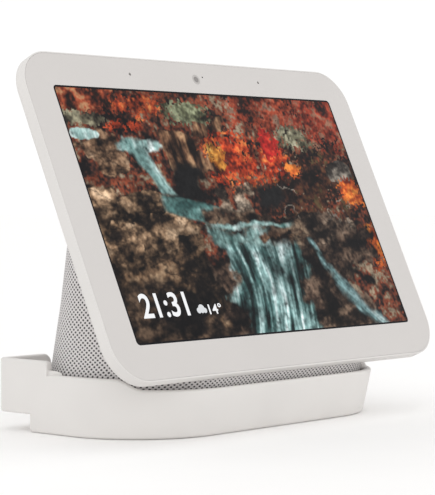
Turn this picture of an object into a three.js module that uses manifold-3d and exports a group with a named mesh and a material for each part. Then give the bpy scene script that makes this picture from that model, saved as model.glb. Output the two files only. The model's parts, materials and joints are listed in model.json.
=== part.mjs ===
// Smart display: a tilted 10-inch touch display on a fabric-covered loudspeaker base, standing in a
// scooped holder with two square rear corner ears. Millimetres, +Z up, -Y is the front, +X is the right
// hand of a person who looks at the screen. The origin is under the middle of the object, on the
// surface that it stands on.
import * as THREE from "three";
import { mergeVertices } from "three/addons/utils/BufferGeometryUtils.js";
import Module from "manifold-3d";

const wasm = await Module();
wasm.setup();

// ---------------------------------------------------------------- driving dimensions
const GAP = 0.3; // between pieces that touch

// display head, in its own frame: x right, y from the glass to the back, z up along the glass
const HEAD = {
  width: 250.1,
  height: 170.4,
  corner: 20,
  sideDepth: 6, // straight part of the side, before it turns to the back
  turn: { reach: 15, depth: 8, power: 1.25 }, // superellipse from the side to the back
  tilt: THREE.MathUtils.degToRad(24.6),
  centre: new THREE.Vector3(0, -19.6, 108.1), // middle of the glass front
};
HEAD.depth = HEAD.sideDepth + HEAD.turn.depth;
const LIP = 0.85; // from the outer edge to the edge of the glass
const GLASS_THICK = 1.1;
const SCREEN = { width: 214.3, height: 134.2 }; // the part of the panel that lights up
const PANEL = { width: SCREEN.width + 4.7, height: SCREEN.height + 4.8, front: 2.1, thick: 2.2 };
const BACKLIGHT_THICK = 2.4;
const MID_FRAME_THICK = 1;
const BOARD_THICK = 1.2;
const SHELL_WALL = 2;
const CAVITY = { width: 237, height: 157.4, corner: 13, depth: 8.6 };
const DEEP_CAVITY = { width: 225, height: 145.4, corner: 7.5 }; // where the shell's edge turns in
const SENSOR_Z = 75.6; // row of the camera and the microphones above the screen
const MIC_X = 50;
const MIC_HOLE = 0.8;

// loudspeaker base: plan sections that lean in towards the top
const BASE = {
  bottom: 3,
  top: 151,
  halfWidth: 96.5,
  back: 46.4,
  backCorner: 33,
  front: -41.5,
  frontCorner: { width: 46, depth: 45.9 },
};
const FRONT_FLARE = 0.3; // forward travel of the front per millimetre of height
const FLARE_HEIGHT = 32; // up to which the front keeps travelling forward
const SIDE_LEAN = 0.06;
const BACK_LEAN = 0.152;
const CROWN = 44; // height over which the top of the base rounds in
const SLEEVE_THICK = 1.6;
const CABINET_WALL = 2.6;

// holder
const HOLDER = {
  halfWidth: 101,
  front: -45.1,
  back: 55.1,
  wall: 3.5,
  backWall: 7,
  floor: 1.8,
  rim: 29,
  frontRim: 24,
  rearRim: 31,
  frontCorner: { width: 49, depth: 48 },
  backCorner: { width: 27, depth: 24.1 }, // cut straight across
};
const POCKET_BACK_CORNER = { width: 33, depth: 33 };
const NOTCH = { high: -22, low: -35 }; // y where the side rim starts to fall, and where it is down
// square corner ears: two upright arms on a floor of their own, outside the round corner of the tray
const EAR = { bottom: 8.8, top: 35.5, floor: 3, wall: 3.6, corner: 5, armFront: 19.2, armEnd: 66.7 };
const CORD_GAP = 19; // half width of the gap in the holder's rear wall
const WALL_HOLE = { x: 90, z: 22, radius: 2.2, headRadius: 4.6 };

// drive units and controls
const WOOFER = { radius: 37, z: 72, coneRadius: 28 };
const TWEETER = { x: 50, z: 74, radius: 11 };
const POWER = { z: 17, bore: 3.1 };
const MUTE = { z: 67, width: 9, height: 3.6, travel: 3 };
const ROCKER = { x: 104, z: 30, length: 26, width: 6 };

// ---------------------------------------------------------------- finishes
const FINISH = {
  whitePlastic: { color: 0xdedad6, roughness: 0.55, metalness: 0 },
  innerPlastic: { color: 0x3c3d40, roughness: 0.7, metalness: 0 },
  frontGlass: { color: 0xdad6d3, roughness: 0.08, metalness: 0 },
  screen: { color: 0x141a1c, roughness: 0.2, metalness: 0 },
  fabric: { color: 0xc8c4c3, roughness: 0.95, metalness: 0 },
  rubber: { color: 0x9b9894, roughness: 0.9, metalness: 0 },
  steel: { color: 0xb9bbbd, roughness: 0.35, metalness: 1 },
  aluminium: { color: 0xa9acaf, roughness: 0.4, metalness: 1 },
  board: { color: 0x1f5f43, roughness: 0.6, metalness: 0 },
  cone: { color: 0x202123, roughness: 0.8, metalness: 0 },
  cable: { color: 0x8d5a2b, roughness: 0.6, metalness: 0 },
  lens: { color: 0x0b0c10, roughness: 0.05, metalness: 0 },
};

// ---------------------------------------------------------------- small helpers
const root = new THREE.Group();
const base = new THREE.Group();
const head = new THREE.Group();
head.position.copy(HEAD.centre);
head.rotation.x = -HEAD.tilt;
root.add(base, head);
head.updateMatrixWorld(true);

function piece(parent, name, geometry, finish) {
  const mesh = new THREE.Mesh(geometry, new THREE.MeshStandardMaterial(FINISH[finish]));
  mesh.name = name;
  parent.add(mesh);
  return mesh;
}

function solid(geometry) {
  const bare = new THREE.BufferGeometry();
  bare.setAttribute("position", geometry.getAttribute("position"));
  if (geometry.index) bare.setIndex(geometry.index);
  const merged = mergeVertices(bare, 1e-4);
  return new wasm.Manifold(
    new wasm.Mesh({
      numProp: 3,
      vertProperties: merged.attributes.position.array,
      triVerts: new Uint32Array(merged.index.array),
    }),
  );
}

function geometryOf(body) {
  const mesh = body.getMesh();
  const geometry = new THREE.BufferGeometry();
  geometry.setAttribute("position", new THREE.BufferAttribute(mesh.vertProperties, 3));
  geometry.setIndex(new THREE.BufferAttribute(mesh.triVerts, 1));
  geometry.computeVertexNormals();
  return geometry;
}

const cut = (geometry, ...tools) =>
  geometryOf(tools.reduce((body, tool) => body.subtract(solid(tool)), solid(geometry)));
const join = (geometry, ...others) =>
  geometryOf(others.reduce((body, other) => body.add(solid(other)), solid(geometry)));

// a box given by its lowest and highest corners
function block(low, high) {
  const size = high.map((v, i) => v - low[i]);
  const middle = high.map((v, i) => (v + low[i]) / 2);
  return new THREE.BoxGeometry(...size).translate(...middle);
}

// a cylinder along y from one depth to another
function rodY(radius, x, z, fromY, toY, sides = 20) {
  return new THREE.CylinderGeometry(radius, radius, toY - fromY, sides).translate(
    x,
    (fromY + toY) / 2,
    z,
  );
}

function rodZ(radius, x, y, fromZ, toZ, sides = 20) {
  return new THREE.CylinderGeometry(radius, radius, toZ - fromZ, sides)
    .rotateX(Math.PI / 2)
    .translate(x, y, (fromZ + toZ) / 2);
}

function roundedRectangle(width, height, radius) {
  const w = width / 2;
  const h = height / 2;
  const shape = new THREE.Shape();
  shape.moveTo(-w + radius, -h);
  shape.lineTo(w - radius, -h);
  shape.absarc(w - radius, -h + radius, radius, -Math.PI / 2, 0);
  shape.lineTo(w, h - radius);
  shape.absarc(w - radius, h - radius, radius, 0, Math.PI / 2);
  shape.lineTo(-w + radius, h);
  shape.absarc(-w + radius, h - radius, radius, Math.PI / 2, Math.PI);
  shape.lineTo(-w, -h + radius);
  shape.absarc(-w + radius, -h + radius, radius, Math.PI, 1.5 * Math.PI);
  return shape;
}

// a plate that stands like the glass: an outline in x and z, from one depth to another
function plate(shape, fromY, toY, segments = 5) {
  return new THREE.ExtrudeGeometry(shape, {
    depth: toY - fromY,
    bevelEnabled: false,
    curveSegments: segments,
  })
    .rotateX(Math.PI / 2)
    .translate(0, toY, 0);
}

// a slab that lies flat: an outline in x and y, from one height to another
function slab(shape, fromZ, toZ, segments = 8) {
  return new THREE.ExtrudeGeometry(shape, {
    depth: toZ - fromZ,
    bevelEnabled: false,
    curveSegments: segments,
  }).translate(0, 0, fromZ);
}

// a closed skin over rings of equal point count, with flat ends
function loft(rings) {
  const count = rings[0].length;
  const middles = [rings[0], rings[rings.length - 1]].map((ring) =>
    ring.reduce((sum, p) => sum.add(p), new THREE.Vector3()).divideScalar(count),
  );
  const points = [...rings.flat(), ...middles];
  const lastRing = (rings.length - 1) * count;
  const startMiddle = rings.length * count;
  const faces = [];
  for (let i = 0; i < count; i++) {
    const next = (i + 1) % count;
    for (let r = 0; r < rings.length - 1; r++) {
      const here = r * count;
      const above = here + count;
      faces.push(here + i, here + next, above + next, here + i, above + next, above + i);
    }
    faces.push(startMiddle, next, i, startMiddle + 1, lastRing + i, lastRing + next);
  }
  return new THREE.BufferGeometry().setFromPoints(points).setIndex(faces);
}

// a plan outline: straight front, elliptic front corners, straight sides, and rear corners that are
// round, or straight across where chamfer is 2
function planOutline(plan, z, steps = 9) {
  const { halfWidth, front, back, frontCorner, backCorner, chamfer = 1 } = plan;
  const right = [];
  for (let i = 0; i <= steps; i++) {
    const angle = (i / steps) * (Math.PI / 2);
    right.push([
      halfWidth - frontCorner.width * (1 - Math.sin(angle)),
      front + frontCorner.depth * (1 - Math.cos(angle)),
    ]);
  }
  for (let i = 0; i <= steps; i++) {
    const angle = (i / steps) * (Math.PI / 2);
    right.push([
      halfWidth - backCorner.width * (1 - Math.cos(angle) ** chamfer),
      back - backCorner.depth * (1 - Math.sin(angle) ** chamfer),
    ]);
  }
  const left = right.map(([x, y]) => [-x, y]).reverse();
  return [...right, ...left].map(([x, y]) => new THREE.Vector3(x, y, z));
}

// ---------------------------------------------------------------- display head
// outer form of the head with its rounded rear edge; grow makes it larger on every side
function headForm(grow, stepCount = 7) {
  const rings = [];
  const steps = 6;
  const ring = (inset, y) => {
    const radius = HEAD.corner + grow - inset;
    const w = HEAD.width / 2 - HEAD.corner;
    const h = HEAD.height / 2 - HEAD.corner;
    const points = [];
    for (const [quarter, x, z] of [[0, w, h], [1, -w, h], [2, -w, -h], [3, w, -h]]) {
      for (let i = 0; i <= steps; i++) {
        const angle = (quarter + i / steps) * (Math.PI / 2);
        points.push(
          new THREE.Vector3(x + radius * Math.cos(angle), y, z + radius * Math.sin(angle)),
        );
      }
    }
    return points;
  };
  rings.push(ring(0, -grow));
  const { reach, depth, power } = HEAD.turn;
  for (let i = 0; i <= stepCount; i++) {
    const angle = (i / stepCount) * (Math.PI / 2);
    const inset = (reach + grow) * (1 - Math.cos(angle) ** (2 / power));
    rings.push(ring(inset, HEAD.sideDepth + (depth + grow) * Math.sin(angle) ** (2 / power)));
  }
  return loft(rings.reverse());
}

function muteSlot() {
  const reach = MUTE.width / 2 + MUTE.travel + GAP;
  return block(
    [-reach, HEAD.depth - SHELL_WALL - 1, MUTE.z - MUTE.height / 2 - GAP],
    [reach, HEAD.depth + 1, MUTE.z + MUTE.height / 2 + GAP],
  );
}

function rockerSlot() {
  return block(
    [ROCKER.x - ROCKER.width / 2 - GAP, HEAD.depth - SHELL_WALL - 2, ROCKER.z - ROCKER.length / 2 - GAP],
    [ROCKER.x + ROCKER.width / 2 + GAP, HEAD.depth + 1, ROCKER.z + ROCKER.length / 2 + GAP],
  );
}

const GLASS = {
  width: HEAD.width - 2 * LIP,
  height: HEAD.height - 2 * LIP,
  corner: HEAD.corner - LIP,
};
const LEDGE = GLASS_THICK + 1.1; // depth of the step that carries the glass and its gasket
const CAVITY_BACK = HEAD.depth - SHELL_WALL;
const NECK = { halfWidth: 34, low: -52, high: -22 }; // opening for the neck in the rear shell

function rearShell() {
  const seat = plate(
    roundedRectangle(GLASS.width + 2 * GAP, GLASS.height + 2 * GAP, GLASS.corner + GAP),
    -1,
    LEDGE,
  );
  const cavity = plate(
    roundedRectangle(CAVITY.width, CAVITY.height, CAVITY.corner),
    LEDGE - 1,
    CAVITY.depth,
  );
  const deep = plate(
    roundedRectangle(DEEP_CAVITY.width, DEEP_CAVITY.height, DEEP_CAVITY.corner),
    CAVITY.depth - 1,
    CAVITY_BACK,
  );
  const neckWay = block(
    [-NECK.halfWidth, CAVITY_BACK - 1, NECK.low],
    [NECK.halfWidth, HEAD.depth + 1, NECK.high],
  );
  return cut(headForm(0), seat, cavity, deep, neckWay, muteSlot(), rockerSlot());
}

function frontGlass() {
  const sheet = plate(roundedRectangle(GLASS.width, GLASS.height, GLASS.corner), 0, GLASS_THICK, 6);
  const holes = [-MIC_X, MIC_X].map((x) =>
    rodY(MIC_HOLE, x, SENSOR_Z, -1, GLASS_THICK + 1, 8),
  );
  return cut(sheet, ...holes);
}

function gasket() {
  const outer = roundedRectangle(GLASS.width - 1.2, GLASS.height - 1.2, GLASS.corner - 0.6);
  outer.holes.push(roundedRectangle(CAVITY.width + 1, CAVITY.height + 1, CAVITY.corner + 0.5));
  return plate(outer, GLASS_THICK + GAP, LEDGE - GAP);
}

const panelBack = PANEL.front + PANEL.thick;
const backlightFront = panelBack + GAP;
const backlightBack = backlightFront + BACKLIGHT_THICK;
const frameFront = backlightBack + GAP;
const frameBack = frameFront + MID_FRAME_THICK;
const boardFront = frameBack + 0.6;
const boardBack = boardFront + BOARD_THICK;

function midFrame() {
  const sheet = roundedRectangle(CAVITY.width - 1, CAVITY.height - 1, CAVITY.corner - 0.5);
  const windows = [-95, 60].map((x) =>
    block([x, frameFront - 1, -30], [x + 35, frameBack + 1, 20]),
  );
  const screwHoles = FRAME_SCREWS.map(([x, z]) => rodY(1.4, x, z, frameFront - 1, frameBack + 1, 10));
  const sensorWay = block([-64, frameFront - 1, 71.5], [64, frameBack + 1, 90]);
  return cut(plate(sheet, frameFront, frameBack, 4), ...windows, ...screwHoles, sensorWay);
}

// a pan-head screw along y, its head towards the front
function screwY(x, z, headFront, length, radius = 1) {
  const profile = [
    [0, 0],
    [radius, 0],
    [radius, length],
    [2 * radius, length],
    [2 * radius, length + radius],
    [0, length + radius],
  ].map(([r, h]) => new THREE.Vector2(r, h));
  return new THREE.LatheGeometry(profile, 10)
    .rotateX(Math.PI)
    .translate(x, headFront + length + radius, z);
}

const FRAME_SCREWS = [
  [-112, 60],
  [112, 60],
  [-112, -66],
  [112, -66],
];

function headPieces() {
  const sensorBack = 6.4;
  piece(head, "rear_shell", rearShell(), "whitePlastic");
  piece(head, "front_glass", frontGlass(), "frontGlass");
  piece(head, "glass_gasket", gasket(), "rubber");
  piece(
    head,
    "lcd_panel",
    plate(roundedRectangle(PANEL.width, PANEL.height, 2), PANEL.front, panelBack, 3),
    "screen",
  );
  piece(
    head,
    "backlight_unit",
    plate(roundedRectangle(PANEL.width, PANEL.height, 2), backlightFront, backlightBack, 3),
    "aluminium",
  );
  piece(head, "mid_frame", midFrame(), "aluminium");
  FRAME_SCREWS.forEach(([x, z], i) =>
    piece(
      head,
      "frame_screw_" + (i + 1),
      screwY(x, z, frameFront - 1 - GAP, 1.4, 1),
      "steel",
    ),
  );

  // camera, indicator and light sensor in one row above the screen
  piece(
    head,
    "camera_module",
    join(
      block([-4.5, PANEL.front + 2, SENSOR_Z - 4], [4.5, sensorBack + 1.6, SENSOR_Z + 1.9]),
      rodY(2.4, -0.5, SENSOR_Z - 0.6, PANEL.front + 0.8, PANEL.front + 3, 16),
    ),
    "innerPlastic",
  );
  piece(head, "camera_lens", rodY(1.3, -0.5, SENSOR_Z - 0.6, PANEL.front, PANEL.front + 0.5, 14), "lens");
  const ring = new THREE.Shape().absarc(-0.5, SENSOR_Z - 0.6, 2.8, 0, 2 * Math.PI);
  ring.holes.push(new THREE.Path().absarc(-0.5, SENSOR_Z - 0.6, 1.7, 0, 2 * Math.PI));
  piece(head, "camera_ring", plate(ring, PANEL.front, PANEL.front + 0.5, 10), "rubber");
  piece(
    head,
    "camera_led",
    block([6, PANEL.front, SENSOR_Z], [7, PANEL.front + 1.2, SENSOR_Z + 1]),
    "lens",
  );
  piece(
    head,
    "light_sensor",
    block([-16, PANEL.front, SENSOR_Z - 1.5], [-13, PANEL.front + 1.2, SENSOR_Z + 1]),
    "lens",
  );
  for (const [name, x] of [
    ["microphone_left", -MIC_X],
    ["microphone_right", MIC_X],
  ]) {
    piece(
      head,
      name,
      block([x - 5, PANEL.front, SENSOR_Z - 3], [x + 5, PANEL.front + 2, SENSOR_Z + 2]),
      "board",
    );
  }

  // electronics behind the mid frame
  piece(
    head,
    "main_board",
    plate(roundedRectangle(124, 62, 3), boardFront, boardBack, 3).translate(0, 0, 22),
    "board",
  );
  piece(
    head,
    "processor_shield",
    block([-22, boardBack + GAP, 6], [22, boardBack + 1.3, 36]),
    "steel",
  );
  piece(
    head,
    "wifi_module",
    block([34, boardBack + GAP, 22], [54, boardBack + 1.2, 42]),
    "steel",
  );
  for (const [name, side] of [
    ["antenna_left", -1],
    ["antenna_right", 1],
  ]) {
    piece(
      head,
      name,
      block([side * 92 - 14, frameBack + 0.5, 64], [side * 92 + 14, frameBack + 1.1, 72]),
      "cable",
    );
  }
  piece(
    head,
    "display_flex",
    block([-20, frameBack + GAP, -62], [20, frameBack + 0.6, -54.5]),
    "cable",
  );

  // rear controls
  const boardTop = CAVITY_BACK - 0.8;
  piece(
    head,
    "mute_board",
    block([-12, frameBack + 0.5, MUTE.z - 4], [12, frameBack + 1.5, MUTE.z + 3.8]),
    "board",
  );
  piece(
    head,
    "mute_switch",
    join(
      block(
        [-MUTE.width / 2, boardTop - 0.1, MUTE.z - MUTE.height / 2],
        [MUTE.width / 2, HEAD.depth + 0.8, MUTE.z + MUTE.height / 2],
      ),
      block(
        [-MUTE.width / 2 - 1, boardTop - 0.7, MUTE.z - MUTE.height / 2 - 1],
        [MUTE.width / 2 + 1, boardTop + 0.3, MUTE.z + MUTE.height / 2 + 1],
      ),
    ),
    "whitePlastic",
  );
  piece(
    head,
    "volume_board",
    block([ROCKER.x - 6, frameBack + 0.5, ROCKER.z - 16], [ROCKER.x + 6, frameBack + 1.2, ROCKER.z + 16]),
    "board",
  );
  const rockerForm = new THREE.Shape();
  rockerForm.moveTo(-ROCKER.length / 2, boardTop - 0.2);
  rockerForm.lineTo(ROCKER.length / 2, boardTop - 0.2);
  rockerForm.lineTo(ROCKER.length / 2, HEAD.depth + 0.9);
  rockerForm.quadraticCurveTo(0, HEAD.depth + 0.1, -ROCKER.length / 2, HEAD.depth + 0.9);
  piece(
    head,
    "volume_rocker",
    new THREE.ExtrudeGeometry(rockerForm, {
      depth: ROCKER.width,
      bevelEnabled: false,
      curveSegments: 8,
    })
      .applyMatrix4(
        // profile x runs along the head's z, profile y along its depth
        new THREE.Matrix4().makeBasis(
          new THREE.Vector3(0, 0, 1),
          new THREE.Vector3(0, 1, 0),
          new THREE.Vector3(-1, 0, 0),
        ),
      )
      .translate(ROCKER.x + ROCKER.width / 2, 0, ROCKER.z),
    "whitePlastic",
  );
}

// ---------------------------------------------------------------- loudspeaker base
// plan section of the base at a height, drawn in by an inset on every side
function baseSection(z, inset) {
  const rise = z - BASE.bottom;
  const crownStart = BASE.top - CROWN;
  const crown = Math.max(0, (z - crownStart) / (BASE.top - crownStart));
  const pinch = 1 - Math.sqrt(Math.max(0, 1 - crown * crown));
  const halfWidth = BASE.halfWidth - SIDE_LEAN * rise - 34 * pinch - inset;
  const back = BASE.back - BACK_LEAN * rise - 9 * pinch - inset;
  const flare = FRONT_FLARE * Math.min(rise, FLARE_HEIGHT);
  const rearRadius = BASE.backCorner - inset * 0.5;
  const frontEnd = BASE.front + BASE.frontCorner.depth; // y where the front corners end
  return planOutline(
    {
      halfWidth,
      front: BASE.front - flare + inset,
      back,
      frontCorner: {
        width: BASE.frontCorner.width - inset,
        depth: BASE.frontCorner.depth + flare - inset,
      },
      backCorner: { width: rearRadius, depth: Math.min(rearRadius, back - frontEnd) },
    },
    z,
    8,
  );
}

function baseForm(inset, fromZ, toZ) {
  const heights = [fromZ, 20, 35, 60, BASE.top - CROWN, 120, 132, 141, 147];
  const inside = heights.filter((z) => z >= fromZ && z < toZ - 0.5);
  return loft([...inside, toZ].map((z) => baseSection(z, inset)));
}

// everything in front of the base: the head itself and the space before its rear face
function headSpace(gap) {
  const clear = solid(headForm(gap));
  const before = solid(
    block([-140, -140, -HEAD.height / 2 - gap], [140, HEAD.sideDepth, 140]),
  );
  const behind = solid(
    block([-140, 0, -HEAD.height / 2 + HEAD.turn.reach], [140, HEAD.depth + gap, 140]),
  );
  return geometryOf(clear.add(before).add(behind)).applyMatrix4(head.matrixWorld);
}

const FOOT = { inset: 12.5, width: 8, thick: 1.8 };
const COVER = { bottom: BASE.bottom + FOOT.thick + GAP, thick: 2 };
const SHELL_BOTTOM = COVER.bottom + COVER.thick + GAP;

const flatShape = (ring) => new THREE.Shape(ring.map((p) => new THREE.Vector2(p.x, p.y)));

function footRing() {
  const shape = flatShape(baseSection(BASE.bottom, FOOT.inset));
  shape.holes.push(flatShape(baseSection(BASE.bottom, FOOT.inset + FOOT.width)));
  return slab(shape, BASE.bottom, BASE.bottom + FOOT.thick);
}

// frame of the drive units: on the leaning rear wall, y outward along the wall's normal
const BACK_ANGLE = Math.atan(BACK_LEAN);
function wallFrame(x, z) {
  const y = BASE.back - BACK_LEAN * (z - BASE.bottom) - SLEEVE_THICK - GAP;
  return new THREE.Matrix4().makeTranslation(x, y, z).multiply(
    new THREE.Matrix4().makeRotationX(BACK_ANGLE),
  );
}

const wooferFrame = wallFrame(0, WOOFER.z);
const tweeterFrame = (side) => wallFrame(side * TWEETER.x, TWEETER.z);

const COVER_SCREWS = [
  [-86, -10],
  [86, -10],
  [-86.8, 22],
  [86.8, 22],
];
const SCREW_BOSS = { radius: 4.2, bore: 1.9, top: 19 };

function speakerShell() {
  const outer = solid(baseForm(SLEEVE_THICK + GAP, SHELL_BOTTOM, BASE.top - SLEEVE_THICK - 1));
  const inner = solid(
    baseForm(SLEEVE_THICK + GAP + CABINET_WALL, SHELL_BOTTOM - 1, BASE.top - SLEEVE_THICK - 5),
  );
  const clear = solid(headSpace(SLEEVE_THICK + 2 * GAP));
  const clearInner = solid(headSpace(SLEEVE_THICK + 2 * GAP + CABINET_WALL));
  let body = outer.subtract(clear).subtract(inner.subtract(clearInner));
  for (const [x, y] of COVER_SCREWS) {
    body = body.add(solid(rodZ(SCREW_BOSS.radius, x, y, SHELL_BOTTOM, SCREW_BOSS.top, 14)));
  }
  const holes = [
    ...COVER_SCREWS.map(([x, y]) =>
      rodZ(SCREW_BOSS.bore, x, y, SHELL_BOTTOM - 1, SCREW_BOSS.top + 1, 10),
    ),
    rodY(WOOFER.radius - 4.5, 0, 0, -8, 8, 28).applyMatrix4(wooferFrame),
    ...[-1, 1].map((side) =>
      rodY(TWEETER.radius - 2.5, 0, 0, -8, 8, 16).applyMatrix4(tweeterFrame(side)),
    ),
    block([-8, 30, POWER.z - 6.3], [8, 60, POWER.z + 6.3]),
    neckPassage(),
  ];
  for (const hole of holes) body = body.subtract(solid(hole));
  return geometryOf(body);
}

// way through the front wall of the cabinet for the neck, square to the display
function neckPassage() {
  return block(
    [-NECK.halfWidth + 4, HEAD.depth - 4, NECK.low + 2],
    [NECK.halfWidth - 4, HEAD.depth + 9, NECK.high - 2],
  ).applyMatrix4(head.matrixWorld);
}

function fabricSleeve() {
  const outer = solid(baseForm(0, COVER.bottom, BASE.top));
  const inner = solid(baseForm(SLEEVE_THICK, COVER.bottom - 1, BASE.top - SLEEVE_THICK));
  const clear = solid(headSpace(GAP));
  const clearInner = solid(headSpace(SLEEVE_THICK + GAP));
  let body = outer.subtract(clear).subtract(inner.subtract(clearInner));
  body = body.subtract(solid(neckPassage()));
  body = body.subtract(solid(block([-6, 30, POWER.z - 4.3], [6, 60, POWER.z + 4.3])));
  return geometryOf(body);
}

// a turned piece; a ring's profile, which stays off the axis, is closed on its first point
function lathe(points, sides, matrix) {
  const profile = points[0][0] > 0 ? [...points, points[0]] : points;
  return new THREE.LatheGeometry(
    profile.map(([r, h]) => new THREE.Vector2(r, h)),
    sides,
  ).applyMatrix4(matrix);
}

function basePieces() {
  piece(base, "base_foot", footRing(), "rubber");
  const coverInset = SLEEVE_THICK + 3 * GAP;
  const coverShape = flatShape(baseSection(COVER.bottom + COVER.thick, coverInset));
  const coverPlate = slab(coverShape, COVER.bottom, COVER.bottom + COVER.thick);
  const screwWays = COVER_SCREWS.map(([x, y]) =>
    rodZ(1.9, x, y, COVER.bottom - 1, COVER.bottom + COVER.thick + 1, 10),
  );
  piece(base, "bottom_cover", cut(coverPlate, ...screwWays), "innerPlastic");
  COVER_SCREWS.forEach(([x, y], i) => {
    const profile = [
      [0, 0],
      [3.2, 0],
      [3.2, 1.4],
      [1.5, 1.4],
      [1.5, 11],
      [0, 11],
    ].map(([r, h]) => new THREE.Vector2(r, h));
    piece(
      base,
      "cover_screw_" + (i + 1),
      new THREE.LatheGeometry(profile, 10)
        .rotateX(Math.PI / 2)
        .translate(x, y, COVER.bottom - GAP - 1.4),
      "steel",
    );
  });
  piece(base, "speaker_shell", speakerShell(), "innerPlastic");
  piece(base, "fabric_sleeve", fabricSleeve(), "fabric");

  // bass unit behind the rear wall: basket, surround, cone and magnet, all turned on one axis
  const r = WOOFER.radius;
  const seat = -CABINET_WALL - GAP;
  piece(
    base,
    "woofer_basket",
    lathe(
      [
        [r, seat - 2],
        [r, seat],
        [r - 6, seat],
        [r - 6, seat - 2],
        [18, seat - 16],
        [8, seat - 16],
        [8, seat - 18],
        [20, seat - 18],
        [r - 2, seat - 2],
      ],
      28,
      wooferFrame,
    ),
    "steel",
  );
  piece(
    base,
    "woofer_surround",
    lathe(
      [
        [WOOFER.coneRadius + GAP, seat],
        [r - 6 - GAP, seat],
        [r - 6.5 - GAP, seat + 1.4],
        [WOOFER.coneRadius + 0.6, seat + 1.4],
      ],
      28,
      wooferFrame,
    ),
    "rubber",
  );
  piece(
    base,
    "woofer_cone",
    lathe(
      [
        [0, seat - 9],
        [12, seat - 9],
        [WOOFER.coneRadius, seat - 2],
        [WOOFER.coneRadius, seat - 0.4],
        [11, seat - 7],
        [0, seat - 5],
      ],
      28,
      wooferFrame,
    ),
    "cone",
  );
  piece(
    base,
    "woofer_magnet",
    lathe(
      [
        [0, seat - 30],
        [20, seat - 30],
        [20, seat - 18 - GAP],
        [7, seat - 18 - GAP],
        [7, seat - 13.5],
        [0, seat - 13.5],
      ],
      24,
      wooferFrame,
    ),
    "steel",
  );
  for (const [name, side] of [
    ["tweeter_left", -1],
    ["tweeter_right", 1],
  ]) {
    piece(
      base,
      name,
      lathe(
        [
          [0, seat - 12],
          [8, seat - 12],
          [8, seat - 3],
          [TWEETER.radius, seat - 3],
          [TWEETER.radius, seat - 0.6],
          [7, seat - 0.6],
          [5, seat + 0.9],
          [0, seat + 1.6],
        ],
        16,
        tweeterFrame(side),
      ),
      "cone",
    );
  }

  // power inlet with its round bore open to the rear
  piece(
    base,
    "power_socket",
    cut(
      block([-6.5, 30, POWER.z - 5], [6.5, 40.3, POWER.z + 5]),
      rodY(POWER.bore, 0, POWER.z, 31.5, 50, 16),
    ),
    "innerPlastic",
  );
  piece(base, "inlet_collar", inletCollar(), "innerPlastic");
  piece(
    base,
    "power_board",
    block([-40, -14, SHELL_BOTTOM + 5], [40, 26, SHELL_BOTTOM + 6.6]),
    "board",
  );
  piece(
    base,
    "amplifier_heatsink",
    cut(
      block([-30, -8, SHELL_BOTTOM + 6.9], [-6, 16, SHELL_BOTTOM + 14]),
      ...[-26, -21, -16, -11].map((x) =>
        block([x, -20, SHELL_BOTTOM + 8.9], [x + 2.4, 30, SHELL_BOTTOM + 20]),
      ),
    ),
    "aluminium",
  );

  // metal neck that carries the head on the cabinet, through the rear shell's opening
  piece(
    head,
    "neck_bracket",
    join(
      block(
        [-NECK.halfWidth + 8, boardFront - 0.2, NECK.low + 4],
        [NECK.halfWidth - 8, boardFront + 1.8, NECK.high - 4],
      ),
      block([-18, boardFront + 1, NECK.low + 6], [18, HEAD.depth + 6.5, NECK.low + 10]),
      block([-18, boardFront + 1, NECK.high - 10], [18, HEAD.depth + 6.5, NECK.high - 6]),
      block([-24, HEAD.depth + 5, NECK.low + 4], [24, HEAD.depth + 7.5, NECK.high - 4]),
    ),
    "steel",
  );
  piece(
    head,
    "base_cable",
    block([26.6, boardFront + 2.4, -40], [29.4, HEAD.depth + 12, -39.2]),
    "cable",
  );
}

// rim of the power inlet, flush with the fabric
function inletCollar() {
  return cut(
    block([-5.7, 40.6, POWER.z - 4], [5.7, 43.6, POWER.z + 4]),
    rodY(POWER.bore, 0, POWER.z, 30, 60, 16),
  );
}

// ---------------------------------------------------------------- holder
// plan section of the holder's outer wall, or of its pocket
function holderSection(z, inset = 0) {
  return planOutline(
    {
      halfWidth: HOLDER.halfWidth - inset,
      front: HOLDER.front - FRONT_FLARE * z + inset,
      back: HOLDER.back - inset,
      frontCorner: {
        width: HOLDER.frontCorner.width - 0.4 * inset,
        depth: HOLDER.frontCorner.depth + FRONT_FLARE * z - 0.4 * inset,
      },
      backCorner: HOLDER.backCorner,
      chamfer: 2,
    },
    z,
    10,
  );
}

function pocketSection(z, flareHeight) {
  return planOutline(
    {
      halfWidth: HOLDER.halfWidth - HOLDER.wall,
      front: HOLDER.front - FRONT_FLARE * flareHeight + HOLDER.wall,
      back: HOLDER.back - HOLDER.backWall,
      frontCorner: {
        width: HOLDER.frontCorner.width - 2,
        depth: HOLDER.frontCorner.depth + FRONT_FLARE * flareHeight - 2,
      },
      backCorner: POCKET_BACK_CORNER,
    },
    z,
    10,
  );
}

// outer sides of an ear in plan, from the front end of one arm round the corner to the end of the other
function earOutline(side) {
  const out = HOLDER.halfWidth;
  const shape = new THREE.Shape();
  shape.moveTo(side * out, EAR.armFront);
  shape.lineTo(side * out, HOLDER.back - EAR.corner);
  shape.quadraticCurveTo(side * out, HOLDER.back, side * (out - EAR.corner), HOLDER.back);
  shape.lineTo(side * EAR.armEnd, HOLDER.back);
  shape.lineTo(side * EAR.armEnd, HOLDER.back - EAR.wall);
  return shape;
}

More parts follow.
